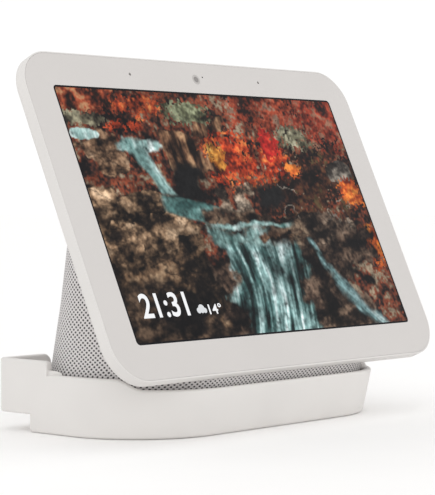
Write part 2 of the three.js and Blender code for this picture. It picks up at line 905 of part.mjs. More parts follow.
// one rear corner ear: an L of two arms, open inside above its floor; side is -1 or 1
function cornerEar(side) {
  const innerX = HOLDER.halfWidth - EAR.wall;
  const innerY = HOLDER.back - EAR.wall;
  const arms = earOutline(side);
  arms.lineTo(side * (innerX - 2), innerY);
  arms.quadraticCurveTo(side * innerX, innerY, side * innerX, innerY - 2);
  arms.lineTo(side * innerX, EAR.armFront);
  const floor = earOutline(side);
  floor.lineTo(side * innerX, EAR.armFront);
  return join(
    slab(arms, EAR.bottom, EAR.top, 5),
    slab(floor, EAR.bottom, EAR.bottom + EAR.floor, 5),
  );
}

// what is cut from the end of an ear's rear arm to bring its top down to the rear wall in a curve
function earEndCut(side) {
  const drop = EAR.top - HOLDER.rearRim;
  const shape = new THREE.Shape();
  shape.moveTo(side * (EAR.armEnd - 1), HOLDER.rearRim);
  shape.lineTo(side * EAR.armEnd, HOLDER.rearRim);
  shape.quadraticCurveTo(side * EAR.armEnd, EAR.top, side * (EAR.armEnd + drop), EAR.top);
  shape.lineTo(side * (EAR.armEnd + drop), EAR.top + 1);
  shape.lineTo(side * (EAR.armEnd - 1), EAR.top + 1);
  return plate(shape, HOLDER.back - 20, HOLDER.back + 5, 5);
}

// what is above the front and side rims, as a profile in y and z carried across the holder
function frontScoop() {
  const shape = new THREE.Shape();
  shape.moveTo(-90, HOLDER.frontRim);
  shape.lineTo(NOTCH.low, HOLDER.frontRim);
  shape.bezierCurveTo(
    NOTCH.low + 5,
    HOLDER.frontRim,
    NOTCH.high - 4,
    HOLDER.rim,
    NOTCH.high,
    HOLDER.rim,
  );
  shape.lineTo(EAR.armFront, HOLDER.rim);
  shape.lineTo(EAR.armFront, 60);
  shape.lineTo(-90, 60);
  const across = new THREE.ExtrudeGeometry(shape, {
    depth: 260,
    bevelEnabled: false,
    curveSegments: 8,
  });
  const basis = new THREE.Matrix4().makeBasis(
    new THREE.Vector3(0, 1, 0),
    new THREE.Vector3(0, 0, 1),
    new THREE.Vector3(1, 0, 0),
  );
  return across.applyMatrix4(basis).translate(-130, 0, 0);
}

function holderTray() {
  const wallSections = [
    holderSection(0, 1.6),
    holderSection(0.6, 0.6),
    holderSection(1.8),
    holderSection(15),
    holderSection(HOLDER.rearRim),
  ];
  const pocket = solid(
    loft([
      pocketSection(HOLDER.floor, HOLDER.floor),
      pocketSection(HOLDER.rearRim, HOLDER.rearRim),
      pocketSection(60, HOLDER.rearRim),
    ]),
  );
  let body = solid(loft(wallSections));
  for (const side of [-1, 1]) {
    body = body.add(solid(cornerEar(side))).subtract(solid(earEndCut(side)));
  }
  body = body.subtract(pocket).subtract(solid(frontScoop()));
  const cordWay = block([-CORD_GAP, 40, HOLDER.floor + 3], [CORD_GAP, 70, 60]);
  body = body.subtract(solid(cordWay));
  for (const side of [-1, 1]) {
    const x = side * WALL_HOLE.x;
    body = body.subtract(solid(rodY(WALL_HOLE.radius, x, WALL_HOLE.z, 10, 70, 12)));
    const seatY = HOLDER.back - EAR.wall - 0.2;
    body = body.subtract(solid(rodY(WALL_HOLE.headRadius, x, WALL_HOLE.z, 10, seatY, 12)));
  }
  return geometryOf(body);
}

function holderPieces() {
  piece(root, "holder_tray", holderTray(), "whitePlastic");
  for (const [name, side] of [
    ["holder_pad_left", -1],
    ["holder_pad_right", 1],
  ]) {
    const strip = roundedRectangle(26, 62, 6);
    piece(
      root,
      name,
      slab(strip, HOLDER.floor + GAP, BASE.bottom - GAP, 4).translate(side * 74, 4, 0),
      "rubber",
    );
  }
}

headPieces();
basePieces();
holderPieces();

export default root;
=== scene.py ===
"""Smart display: a tilted touch display on a knit-covered loudspeaker base, standing in a scooped white
holder with square rear ears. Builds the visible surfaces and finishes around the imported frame.
Lengths in the formulas are millimetres in the row frame: +Z up, -Y the front, +X the viewer's right."""
import json
import math

import bpy
import numpy as np
from bpy.props import FloatProperty, FloatVectorProperty, PointerProperty
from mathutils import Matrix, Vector


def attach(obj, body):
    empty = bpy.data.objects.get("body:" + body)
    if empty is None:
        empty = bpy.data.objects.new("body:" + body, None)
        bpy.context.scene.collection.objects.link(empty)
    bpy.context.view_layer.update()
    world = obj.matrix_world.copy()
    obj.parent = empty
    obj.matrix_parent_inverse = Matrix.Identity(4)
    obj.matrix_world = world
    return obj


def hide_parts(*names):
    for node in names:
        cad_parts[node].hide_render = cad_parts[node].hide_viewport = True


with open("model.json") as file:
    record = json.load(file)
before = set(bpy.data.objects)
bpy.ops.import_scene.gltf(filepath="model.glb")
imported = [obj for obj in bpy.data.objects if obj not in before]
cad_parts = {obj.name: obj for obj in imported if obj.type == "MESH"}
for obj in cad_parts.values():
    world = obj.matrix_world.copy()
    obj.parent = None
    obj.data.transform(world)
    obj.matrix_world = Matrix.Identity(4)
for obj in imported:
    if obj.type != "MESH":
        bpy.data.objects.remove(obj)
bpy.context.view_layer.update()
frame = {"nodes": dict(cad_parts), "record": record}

bl_info = {
    "name": "Smart display on a knit base",
    "version": (1, 0, 0),
    "blender": (4, 5, 0),
    "location": "View3D > Sidebar > Smart display",
    "description": "Builds a tilted smart display with its loudspeaker base and holder",
    "category": "Add Mesh",
}

MM = 0.001


# ---------------------------------------------------------------- sizes shared with the frame
TILT = math.radians(24.6)  # lean of the display
HEAD_CENTRE = (0.0, -19.6, 108.1)  # middle of the glass front
HEAD_WIDTH, HEAD_HEIGHT, HEAD_CORNER = 250.1, 170.4, 20.0
SIDE_DEPTH = 6.0  # straight part of the side
TURN_REACH, TURN_DEPTH, TURN_POWER = 15.0, 8.0, 1.25  # superellipse from the side to the back
HEAD_DEPTH = SIDE_DEPTH + TURN_DEPTH
LIP = 0.85  # from the outer edge to the glass
GLASS_THICK = 1.1
LEDGE = 2.2
GLASS_GAP = 0.08
SHELL_WALL = 2.0
SCREEN_WIDTH, SCREEN_HEIGHT, SCREEN_CORNER = 214.3, 134.2, 2.3
SENSOR_Z = 75.6
MIC_X, MIC_RADIUS = 50.0, 0.8
CAMERA_X, CAMERA_Z = -0.5, 75.0
MUTE_Z, ROCKER_X, ROCKER_Z = 67.0, 104.0, 30.0
BASE_BOTTOM, BASE_TOP, CROWN = 3.0, 151.0, 44.0
SLEEVE_BOTTOM = 5.1
SLEEVE_THICK = 1.2
POWER_Z = 17.0
HOLDER_HALF, HOLDER_FRONT, HOLDER_BACK = 101.0, -45.1, 55.1
HOLDER_FLARE = 0.3
HOLDER_FLOOR = 1.8
TRAY_WALL, TRAY_REAR_WALL = 3.5, 7
COVE = 1.5  # rounding between the pocket's wall and its floor
FRONT_RIM, SIDE_RIM, REAR_RIM = 24.0, 29.0, 31.0
NOTCH_LOW, NOTCH_HIGH = -35.0, -22.0
EAR_BOTTOM, EAR_TOP, EAR_WALL, EAR_FLOOR, EAR_CORNER = 8.8, 35.5, 3.6, 3.0, 5.0
EAR_FRONT, EAR_END = 19.2, 66.7
CORD_GAP = 19.0
WALL_SCREW_X, WALL_SCREW_Z, WALL_SCREW_BORE, WALL_SCREW_HEAD = 90, 22, 2.2, 4.6
MUTE_OPENING = (7.8, 2.1, 0.8)  # half width, half height and corner radius
ROCKER_OPENING = (3.3, 13.3, 1.2)
SOCKET_OPENING = (6, 4.3, 1.5)
TRAY_CHAMFER = (27.0, 24.1)  # straight cut across the rear corners of the tray
POCKET_CORNER = 33.0
POCKET_RUN = HOLDER_HALF - TRAY_WALL - POCKET_CORNER  # half of the straight back inside

# the stage, in metres
LAMP_PLACE, LAMP_AIM, LAMP_WIDTH = (-1.7, -1.9, 1.0), (0, 0, 0.05), 1.8
VIEW_PLACE, VIEW_LENS = (-0.74297, -0.65233, 0.1178), 138.84  # the lens is in millimetres
VIEW_TURN, VIEW_DIP = math.radians(48.835), math.radians(1.665)


def linear(code):
    """sRGB hex to linear light: the standard curve, a line near black and a power of 2.4 above it."""
    channels = [int(code[i : i + 2], 16) / 255 for i in (0, 2, 4)]
    return tuple(c / 12.92 if c <= 0.04045 else ((c + 0.055) / 1.055) ** 2.4 for c in channels)


def colour(name, description, code):
    return FloatVectorProperty(name=name, description=description, subtype="COLOR", size=3, min=0, max=1,
                               default=linear(code))


def length(name, description, millimetres):
    return FloatProperty(name=name, description=description, default=millimetres * MM, min=0, precision=5,
                         unit="LENGTH", subtype="DISTANCE")


class HolderSettings(bpy.types.PropertyGroup):
    """Sizes and colour of the holder"""

    rim_radius: length("Rim radius", "Rounding of the upper edge", 1.6)
    foot_radius: length("Foot radius", "Rounding of the lower edge", 1.6)
    plastic: colour("Plastic", "Colour of the moulded holder", "DFDCD9")


class HeadSettings(bpy.types.PropertyGroup):
    """Sizes and colours of the display head"""

    lip_radius: length("Lip radius", "Rounding of the lip round the glass", 0.28)
    border: colour("Glass border", "Colour printed behind the glass border", "CECAC7")
    shell: colour("Shell", "Colour of the rear shell", "DBD8D5")
    glow: FloatProperty(name="Glow", description="Brightness of the lit screen", default=1.0, min=0)


class KnitSettings(bpy.types.PropertyGroup):
    """Sizes and colours of the knitted sleeve"""

    wale: length("Wale", "Sideways distance between two eyelets of one row", 2.9)
    course: length("Course", "Height of two rows of eyelets", 2.2)
    thread: colour("Thread", "Colour of the polyester thread", "D9D5D4")
    # painted shade: the eyelet colour is a dark tone that stands for the shade in the depth between the
    # threads
    eyelet_shade: colour("Eyelet", "Colour in the depth between the threads", "3A3738")


class StageSettings(bpy.types.PropertyGroup):
    """Floor and light"""

    floor: colour("Floor", "Colour of the studio floor", "FDFCFB")
    sky: FloatProperty(name="Sky", description="Strength of the even white surround", default=1.03, min=0)
    key: FloatProperty(name="Key", description="Power of the large lamp in front on the left", default=5.0,
                       min=0, unit="POWER")


# ---------------------------------------------------------------- surfaces and meshes
def grid_faces(rows, columns, around=True):
    """Quads between the neighbours of a grid of points, its rows one after another; each row is a closed
    ring when around is true."""
    r, c = np.meshgrid(np.arange(rows - 1), np.arange(columns if around else columns - 1), indexing="ij")
    c_next = (c + 1) % columns
    return np.stack([r * columns + c, r * columns + c_next, (r + 1) * columns + c_next,
                     (r + 1) * columns + c], -1).reshape(-1, 4)


def make_mesh(name, points, quads, uv=None, tints=None):
    """One mesh from points in millimetres and quads. Points that coincide become one, so poles and seams
    close; quads that shrink to an edge go. A closed skin whose signed volume is negative is turned round.
    uv and tints hold cloth coordinates and named colours of the points."""
    points = np.asarray(points, float).reshape(-1, 3)
    corners = points[quads]
    volume = sum(np.einsum("ij,ij->", corners[:, 0], np.cross(corners[:, i], corners[:, i + 1]))
                 for i in (1, 2))
    if volume < 0:
        quads = quads[:, ::-1]
    merged, back = np.unique(np.round(points, 4), axis=0, return_inverse=True)
    ids = back.reshape(-1)[quads]
    kept = ids != np.roll(ids, -1, axis=1)
    kept[kept.sum(1) < 3] = False
    totals = kept.sum(1)
    totals = totals[totals > 0]
    loops = ids[kept]
    mesh = bpy.data.meshes.new(name)
    mesh.vertices.add(len(merged))
    mesh.vertices.foreach_set("co", (merged * MM).astype(np.float32).ravel())
    mesh.loops.add(len(loops))
    mesh.loops.foreach_set("vertex_index", loops.astype(np.int32))
    mesh.polygons.add(len(totals))
    mesh.polygons.foreach_set("loop_start", np.concatenate([[0], np.cumsum(totals)[:-1]]).astype(np.int32))
    if uv is not None:
        layer = mesh.uv_layers.new(name="Cloth")
        layer.uv.foreach_set("vector", (uv[quads][kept] * MM).astype(np.float32).ravel())
    for key, values in (tints or {}).items():
        layer = mesh.attributes.new(key, "FLOAT_COLOR", "POINT")
        rows = np.ones((len(merged), 4), np.float32)
        rows[back.reshape(-1), :3] = values
        layer.data.foreach_set("color", rows.ravel())
    mesh.update(calc_edges=True)
    mesh.validate()
    return mesh


def make_object(name, points, quads, uv=None, tints=None):
    made = bpy.data.objects.new(name, make_mesh(name, points, quads, uv, tints))
    bpy.context.scene.collection.objects.link(made)
    return made


def settle(made):
    """Applies the modifiers, so that the mesh is what shows."""
    shown = made.evaluated_get(bpy.context.evaluated_depsgraph_get())
    mesh = bpy.data.meshes.new_from_object(shown)
    made.modifiers.clear()
    made.data = mesh
    return made


def combine(made, tool, operation):
    """Cuts or adds the tool's solid and removes the tool."""
    change = made.modifiers.new("Combine", "BOOLEAN")
    change.operation, change.solver, change.object = operation, "EXACT", tool
    settle(made)
    bpy.data.objects.remove(tool)
    return made


def finish_piece(made, body, slot, material, *stands_for, angle=38):
    """Smooth faces with creases above the angle, one material, its body and the nodes it stands for. The slot
    argument is not used.
    """
    made.data.shade_smooth()
    made.data.set_sharp_from_angle(angle=math.radians(angle))
    made.data.materials.clear()
    made.data.materials.append(material)
    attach(made, body)
    if stands_for:
        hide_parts(*stands_for)
    return made


def quarter(steps=6):
    """Angles of a quarter turn."""
    return np.linspace(0, math.pi / 2, steps + 1)


def head_to_row(points):
    """Head frame (x right, y into the depth, z up along the glass) to the row frame: a turn about x by the
    lean, then a move to the middle of the glass."""
    x, y, z = np.moveaxis(np.asarray(points, float), -1, 0)
    c, s = math.cos(TILT), math.sin(TILT)
    return np.stack([x, y * c + z * s, z * c - y * s], -1) + HEAD_CENTRE


def rounded_ring(width, height, radius, inset=0.0, corner_steps=14, side_steps=26):
    """Closed outline of a rounded rectangle drawn in by an inset, as (x, z): four straight sides and four
    quarter circles, with the same number of points at every inset."""
    w, h = width / 2 - inset, height / 2 - inset
    r = min(max(radius - inset, 0.0), w, h)
    turn = quarter(corner_steps)
    side = np.linspace(0, 1, side_steps + 1)[1:-1]
    parts = []
    for k, (cx, cz) in enumerate([(w - r, h - r), (r - w, h - r), (r - w, r - h), (w - r, r - h)]):
        angle = turn + k * math.pi / 2
        arc = np.stack([cx + r * np.cos(angle), cz + r * np.sin(angle)], -1)
        parts.append(arc)
        nx, nz = [(r - w, h - r), (r - w, r - h), (w - r, r - h), (w - r, h - r)][k]
        after = (k + 1) * math.pi / 2
        end = np.array([nx + r * math.cos(after), nz + r * math.sin(after)])
        parts.append(arc[-1] + side[:, None] * (end - arc[-1]))
    return np.concatenate(parts)


def head_rings(levels):
    """Rings of the head at (width, height, radius, inset, depth) levels, one after another."""
    rings = []
    for width, height, radius, inset, depth in levels:
        xz = rounded_ring(width, height, radius, inset)
        rings.append(np.stack([xz[:, 0], np.full(len(xz), depth), xz[:, 1]], -1))
    return np.stack(rings)


def turned(profile, x, z, sides=40):
    """A turned shape on an axis into the head's depth: each (radius, depth) pair of the profile carried
    round the axis at x, z."""
    r, d = np.asarray(profile, float).T
    angle = np.linspace(0, 2 * math.pi, sides, endpoint=False)
    grid = np.stack([x + r[:, None] * np.cos(angle), np.broadcast_to(d[:, None], (len(r), sides)),
                     z + r[:, None] * np.sin(angle)], -1)
    return grid, grid_faces(len(r), sides)


def rounded_box(low, high, radius, steps=8):
    """A box with round edges: the directions of a sphere's grid, each moved out to its own box corner and
    then along itself by the radius."""
    low, high = np.asarray(low, float), np.asarray(high, float)
    half, centre = (high - low) / 2, (high + low) / 2
    up = np.linspace(-math.pi / 2, math.pi / 2, 4 * steps)
    round_ = (np.arange(8 * steps) + 0.5) * (math.pi / 4 / steps)
    a, b = np.meshgrid(up, round_, indexing="ij")
    n = np.stack([np.cos(a) * np.cos(b), np.cos(a) * np.sin(b), np.sin(a)], -1)
    corner = np.sign(n) * (half - radius)
    corner[0, :, :2] = corner[-1, :, :2] = 0
    return centre + corner + n * radius, grid_faces(*n.shape[:2])


def cylinder_tool(x, z, radius, y_from, y_to, to_row=None, sides=40):
    profile = [(0, y_from), (radius, y_from), (radius, y_to), (0, y_to)]
    grid, faces = turned(profile, x, z, sides)
    return make_object("tool", to_row(grid) if to_row else grid, faces)


def box_tool(low, high, radius, to_row=None):
    grid, faces = rounded_box(low, high, radius)
    return make_object("tool", to_row(grid) if to_row else grid, faces)


# ---------------------------------------------------------------- plan outlines of the base and holder
def plan(stations, half_width, front, back, corner_width, corner_depth, rear_width, rear_depth, power=1,
         run=None):
    """Closed plan outline, (x, y) at every station: half of the straight front, an elliptic front corner, a
    straight side, a rear corner and half of the straight back, then the same mirrored. stations holds the
    parameters 0 to 1 of those five stretches; sizes may be columns, one row of the result for each. The rear
    corner is elliptic at power 1 and straight across at power 2. Away from the corner the points of the back
    are spaced over run, so that outlines with the same run have them at the same x."""
    given = (half_width, front, back, corner_width, corner_depth, rear_width, rear_depth)
    sizes = np.broadcast_arrays(*(np.asarray(v, float) for v in given))
    w, f, b, cw, cd, rw, rd = (v.reshape(-1, 1) for v in sizes)
    t = [np.asarray(s)[None, :] for s in stations]
    a1, a3 = t[1] * math.pi / 2, t[3] * math.pi / 2
    even = w - rw if run is None else np.full_like(w, run)
    x = [t[0] * (w - cw), w - cw * (1 - np.sin(a1)), w + 0 * t[2], w - rw * (1 - np.abs(np.cos(a3)) ** power),
         even * (1 - t[4]) + (w - rw - even) * np.maximum(0, 1 - t[4] / 0.12)]
    y = [f + 0 * t[0], f + cd * (1 - np.cos(a1)), f + cd + t[2] * (b - rd - f - cd),
         b - rd * (1 - np.sin(a3) ** power), b + 0 * t[4]]
    x, y = np.concatenate(x, 1), np.concatenate(y, 1)
    x = np.concatenate([x, -x[:, -2:0:-1]], 1)
    y = np.concatenate([y, y[:, -2:0:-1]], 1)
    return np.stack([x, y], -1)


def stretches(front, corner, side, rear, back):
    """Even parameters of the five stretches; a stretch leaves out its first point where the one before it
    ended there."""
    def even(count):
        return np.linspace(0, 1, count + 1)

    last = np.asarray(back) if np.ndim(back) else even(back)[1:]
    return [even(front), even(corner)[1:], even(side)[1:], even(rear)[1:], last]


def smooth(t):
    """0 to 1 with a soft start and end."""
    t = np.clip(t, 0, 1)
    return t * t * (3 - 2 * t)


def tray_points(stations, weight, extra, height):
    """Points of the tray at one level: its outer outline (weight 0) passes over to the pocket's (weight 1),
    drawn in by extra, at a height for each station. The front leans out by the flare."""
    rows = []
    heights = np.broadcast_to(height, (1, sum(map(len, stations)) * 2 - 2))[0]
    for z in (0.0, 100.0):
        flare = HOLDER_FLARE * z
        outer = plan(stations, HOLDER_HALF - extra, HOLDER_FRONT - flare + extra, HOLDER_BACK - extra,
                     49 - 0.4 * extra, 48 + flare - 0.4 * extra, *TRAY_CHAMFER, 2, POCKET_RUN)[0]
        inner = plan(stations, HOLDER_HALF - TRAY_WALL - extra, HOLDER_FRONT - flare + TRAY_WALL + extra,
                     HOLDER_BACK - TRAY_REAR_WALL - extra, 47 - 0.4 * extra, 46 + flare - 0.4 * extra,
                     POCKET_CORNER, POCKET_CORNER, 1, POCKET_RUN)[0]
        rows.append(outer * (1 - weight) + inner * weight)
    share = (heights / 100)[:, None]
    return np.concatenate([rows[0] * (1 - share) + rows[1] * share, heights[:, None]], 1)


def rim_height(xy):
    """Height of the rim over each plan point: low in front, a soft rise at the sides, one step up behind the
    front ends of the ears, and down to just above the floor in the cord gap."""
    x, y = xy[:, 0], xy[:, 1]
    rim = FRONT_RIM + (SIDE_RIM - FRONT_RIM) * smooth((y - NOTCH_LOW) / (NOTCH_HIGH - NOTCH_LOW))
    rim = rim + (REAR_RIM - SIDE_RIM) * smooth((y - EAR_FRONT - 2) / 2)
    gap = smooth((CORD_GAP + 0.5 - np.abs(x)) / 1.0) * (y > 30)
    return rim + gap * (HOLDER_FLOOR + 3 - rim)


def tray_surface(rim_radius, foot_radius):
    """The tray as one closed skin: rings from the middle of the underside out round the lower edge, up the
    outer wall, over the round rim, down the pocket and across the floor to its middle."""
    gap = 1 - (CORD_GAP + np.linspace(0.7, -0.7, 8)) / POCKET_RUN
    back = np.concatenate([np.linspace(0, gap[0], 10)[1:-1], gap, np.linspace(gap[-1], 1, 8)[1:]])
    stations = stretches(16, 40, 24, 20, back)
    rim = rim_height(tray_points(stations, 0.0, 0.0, SIDE_RIM)[:, :2])
    turn = quarter(6)
    levels = [(0, foot_radius * (1 - math.sin(a)), foot_radius * (1 - math.cos(a))) for a in turn]
    up = [(0, 0, foot_radius + t * (rim - rim_radius - foot_radius)) for t in (0.25, 0.5, 0.75, 1.0)]
    share = rim_radius / TRAY_WALL
    over = [(share * (1 - math.cos(a)), 0, rim - rim_radius * (1 - math.sin(a))) for a in turn[1:]]
    down = [(1 - share * (1 - math.sin(a)), 0, rim - rim_radius * (1 - math.cos(a))) for a in turn]
    inside = [(1, 0, HOLDER_FLOOR + COVE + t * (rim - rim_radius - HOLDER_FLOOR - COVE))
              for t in (0.6, 0.2, 0.0)]
    floor = [(1, COVE * (1 - math.cos(a)), HOLDER_FLOOR + COVE * (1 - math.sin(a))) for a in turn[1:]]
    rings = [tray_points(stations, *level) for level in levels + up + over + down + inside + floor]
    middle = np.array([0.0, 5.0, 0.0])
    under, top = rings[0] * 0 + middle, rings[0] * 0 + middle + (0, 0, HOLDER_FLOOR)
    grid = np.stack([under, *rings, top])
    return grid, grid_faces(*grid.shape[:2])


def ear_path(side):
    """Outer line of an ear in plan with its inward direction: forward end of the side arm, the round corner,
    the end of the rear arm. Also the distance run from the rear arm's end."""
    c, r = HOLDER_HALF - EAR_CORNER, EAR_CORNER
    turn = quarter(10)
    y_side = EAR_FRONT + np.concatenate([[0, 0.1, 0.3, 0.6, 1.0, 1.6],
                                         np.linspace(2.4, HOLDER_BACK - r - EAR_FRONT, 12)])
    x_rear = EAR_END + np.concatenate([np.linspace(c - EAR_END, 7, 10)[1:], np.linspace(5.5, 0.8, 10),
                                       [0.25, 0]])
    side_part = np.stack([np.full(len(y_side), HOLDER_HALF), y_side], -1)
    corner = np.stack([c + r * np.cos(turn[1:-1]), HOLDER_BACK - r + r * np.sin(turn[1:-1])], -1)
    rear = np.stack([np.concatenate([[c], x_rear]), np.full(len(x_rear) + 1, HOLDER_BACK)], -1)
    path = np.concatenate([side_part, corner, rear])
    inward = np.concatenate([np.tile([-1.0, 0.0], (len(side_part), 1)),
                             -np.stack([np.cos(turn[1:-1]), np.sin(turn[1:-1])], -1),
                             np.tile([0.0, -1.0], (len(rear), 1))])
    return path * (side, 1), inward * (side, 1)


def capped(rings):
    """A tube of rings closed at both ends by the middle of its first and last ring."""
    ends = [np.broadcast_to(rings[i].mean(0), rings[i].shape) for i in (0, -1)]
    grid = np.stack([ends[0], *rings, ends[1]])
    return grid, grid_faces(*grid.shape[:2])


def ear_surface(side, round_top=1.2, round_foot=1.0):
    """Upright arms of an ear: a wall section with round edges carried along the ear's line. The top falls in
    a quarter ellipse at the rear arm's end, the front end's upper corner is a quarter circle, and both ends
    are drawn in a little so that their edges are round."""
    path, inward = ear_path(side)
    drop = EAR_TOP - REAR_RIM
    run = np.clip((np.abs(path[:, 0]) - EAR_END) / drop, 0, 1)
    top = np.where(path[:, 1] > HOLDER_BACK - 1, REAR_RIM + drop * np.sqrt(1 - (1 - run) ** 2), EAR_TOP)
    fore = np.clip((path[:, 1] - EAR_FRONT) / 2.4, 0, 1)
    top = top - 2.4 * (1 - np.sqrt(1 - (1 - fore) ** 2))
    turn = quarter(5)
    c, s = 1 - np.cos(turn), 1 - np.sin(turn)
    none = np.full(len(turn), np.nan)
    across = np.concatenate([round_foot * s, round_top * c,
                             EAR_WALL - round_top * s, EAR_WALL - round_foot * c])
    foot = np.concatenate([round_foot * c, none, none, round_foot * s])
    below = np.concatenate([none, round_top * s, round_top * c, none])
    z = np.where(np.isnan(foot)[None, :], top[:, None] - below[None, :], EAR_BOTTOM + foot[None, :])
    drawn = np.zeros(len(path))
    drawn[[0, -1]], drawn[[1, -2]] = 0.8, 0.25
    offset = np.clip(across[None, :], drawn[:, None], EAR_WALL - drawn[:, None])
    z = np.clip(z, EAR_BOTTOM + drawn[:, None], (top - drawn)[:, None])
    xy = path[:, None, :] + inward[:, None, :] * offset[:, :, None]
    rings = np.concatenate([xy, z[:, :, None]], 2)
    return capped(rings)


def ear_floor(side):
    """Floor of an ear: between the ear's line, drawn in a little, and a line inside the tray's cut corner,
    each point of which lies on the ray from the middle of the pocket's corner to the ear."""
    path, inward = ear_path(side)
    outer = path + inward * 0.6
    middle = np.array([side * POCKET_RUN, HOLDER_BACK - TRAY_REAR_WALL - POCKET_CORNER])
    ray = outer - middle
    normal = np.array([side * TRAY_CHAMFER[1], TRAY_CHAMFER[0]]) / math.hypot(*TRAY_CHAMFER)
    inner = middle + ray * np.minimum(0.97, 34.7 / (ray @ normal))[:, None]
    low, high = EAR_BOTTOM, EAR_BOTTOM + EAR_FLOOR
    ring = [np.concatenate([p, np.full((len(p), 1), z)], 1)
            for p, z in ((outer, low), (outer, high), (inner, high), (inner, low))]
    rings = np.stack(ring, 1)
    return capped(rings)


# ---------------------------------------------------------------- base
def base_plan(stations, z, inset=0.0):
    """Plan outlines of the base at heights z: the sides and the back lean in with the height, the front
    travels forward over its first 32 mm, and the crown draws all in as a quarter ellipse."""
    rise = z - BASE_BOTTOM
    crown = np.clip((z - BASE_TOP + CROWN) / CROWN, 0, 1)
    pinch = 1 - np.sqrt(np.maximum(0, 1 - crown**2))
    flare = 0.3 * np.minimum(rise, 32)
    back = 46.4 - 0.152 * rise - 9 * pinch - inset
    rear = 33 - 0.5 * inset
    return plan(stations, 96.5 - 0.06 * rise - 34 * pinch - inset, -41.5 - flare + inset, back,
                46 - inset, 45.9 + flare - inset, rear, np.minimum(rear, back - 4.4))


def sleeve_surface(wale):
    """The knitted sleeve: plan outlines of the base stacked from its lower edge to its crown. Where they
    would enter the display they stop just inside its back. The outlines start and end at the middle of the
    back. Cloth coordinates are the run round each outline from the middle of the front, drawn out to one and
    the same whole number of wales, and the height up the wall."""
    stations = stretches(26, 50, 14, 40, 46)
    z = np.concatenate([np.linspace(SLEEVE_BOTTOM, 20, 8), np.linspace(21, 36, 20), np.linspace(38, 107, 36),
                        107 + CROWN * np.sin(np.linspace(0.03, 1, 30) * math.pi / 2)])
    half = sum(map(len, stations)) - 1
    xy = np.roll(base_plan(stations, z), -half, 1)
    xy = np.concatenate([xy, xy[:, :1]], 1)
    points = np.concatenate([xy, np.broadcast_to(z[:, None, None], xy.shape[:2] + (1,))], 2)
    middle = points[-1].mean(0)
    cap = middle + (points[-1] - middle) * np.linspace(1, 0, 12)[1:, None, None]
    cap[..., 2] = BASE_TOP
    points = np.concatenate([points, cap])
    y, up = points[..., 1] - HEAD_CENTRE[1], points[..., 2] - HEAD_CENTRE[2]
    c, s = math.cos(TILT), math.sin(TILT)
    depth, along = y * c - up * s, y * s + up * c
    share = np.clip(1 - (along + HEAD_HEIGHT / 2) / TURN_REACH, 0, 1)
    hidden = SIDE_DEPTH + TURN_DEPTH * (1 - share**TURN_POWER) ** (1 / TURN_POWER) - 1.2
    inside = (depth < hidden) & (along > -HEAD_HEIGHT / 2 + 0.3)
    shift = np.where(inside, hidden - depth, 0)
    points = points + shift[..., None] * np.array([0, c, -s])
    step = np.linalg.norm(np.diff(xy, axis=1), axis=2)
    around = np.concatenate([np.zeros((len(z), 1)), np.cumsum(step, 1)], 1)
    wales = round(around[8, -1] / wale)
    around = (around / around[:, -1:] - 0.5) * wales * wale
    around = np.concatenate([around, np.tile(around[-1:], (len(points) - len(z), 1))])
    rows, columns = points.shape[:2]
    wall = np.concatenate([[0], np.cumsum(np.linalg.norm(np.diff(points[:, columns // 2], axis=0), axis=1))])
    faces = grid_faces(rows, columns, around=False)
    faces = faces[~inside.reshape(-1)[faces].all(1)]
    uv = np.stack([around, np.broadcast_to(wall[:, None], (rows, columns))], -1)
    return points, faces, uv.reshape(-1, 2)


# ---------------------------------------------------------------- finishes
def add(tree, kind, settings=None, inputs=None):
    """Adds a node, sets its settings, and sets or links its inputs, by name or number."""
    made = tree.nodes.new(kind)
    for key, value in (settings or {}).items():
        setattr(made, key, value)
    for key, value in (inputs or {}).items():
        if isinstance(value, bpy.types.NodeSocket):
            tree.links.new(value, made.inputs[key])
        else:
            made.inputs[key].default_value = value
    return made


def new_material(name):
    material = bpy.data.materials.new(name)
    material.use_nodes = True
    tree = material.node_tree
    tree.nodes.clear()
    shader = add(tree, "ShaderNodeBsdfPrincipled")
    add(tree, "ShaderNodeOutputMaterial", None, {"Surface": shader.outputs[0]})
    where = add(tree, "ShaderNodeTexCoord").outputs["Object"]
    return material, tree, shader, where


def tones(tree, factor, dark, light, low=0.3, high=0.7):
    """Colours between two tones by a factor."""
    ramp = add(tree, "ShaderNodeValToRGB", None, {"Fac": factor})
    ramp.color_ramp.elements[0].position, ramp.color_ramp.elements[1].position = low, high
    ramp.color_ramp.elements[0].color, ramp.color_ramp.elements[1].color = (*dark, 1), (*light, 1)
    return ramp.outputs["Color"]


def moulded(name, tone, roughness, grain, depth, drift=0.03, ior=1.49, coat=0.0):
    """Injection-moulded plastic: a fine even grain from the mould's spark-eroded wall, and a slow drift of
    tone and gloss over centimetres as the melt cooled. grain is the grain's size in millimetres, drawn as
    coarse as it needs to show, and depth its height in millimetres."""
    material, tree, shader, where = new_material(name)
    fine = add(tree, "ShaderNodeTexNoise", None, {"Vector": where, "Scale": 1000 / grain, "Detail": 3.0})
    slow = add(tree, "ShaderNodeTexNoise", None, {"Vector": where, "Scale": 1000 / 45, "Detail": 2.0})
    base = tones(tree, slow.outputs["Fac"], [c * (1 - drift) for c in tone], [c * (1 + drift) for c in tone])
    gloss = add(tree, "ShaderNodeMapRange", None, {"Value": slow.outputs["Fac"], "To Min": roughness - 0.05,
                                                   "To Max": roughness + 0.05})
    bump = add(tree, "ShaderNodeBump", None, {"Height": fine.outputs["Fac"], "Distance": depth * MM,
                                              "Strength": 0.5})
    for socket, value in (("Base Color", base), ("Roughness", gloss.outputs[0]), ("Normal", bump.outputs[0])):
        tree.links.new(value, shader.inputs[socket])
    shader.inputs["IOR"].default_value = ior
    shader.inputs["Coat Weight"].default_value = coat
    return material


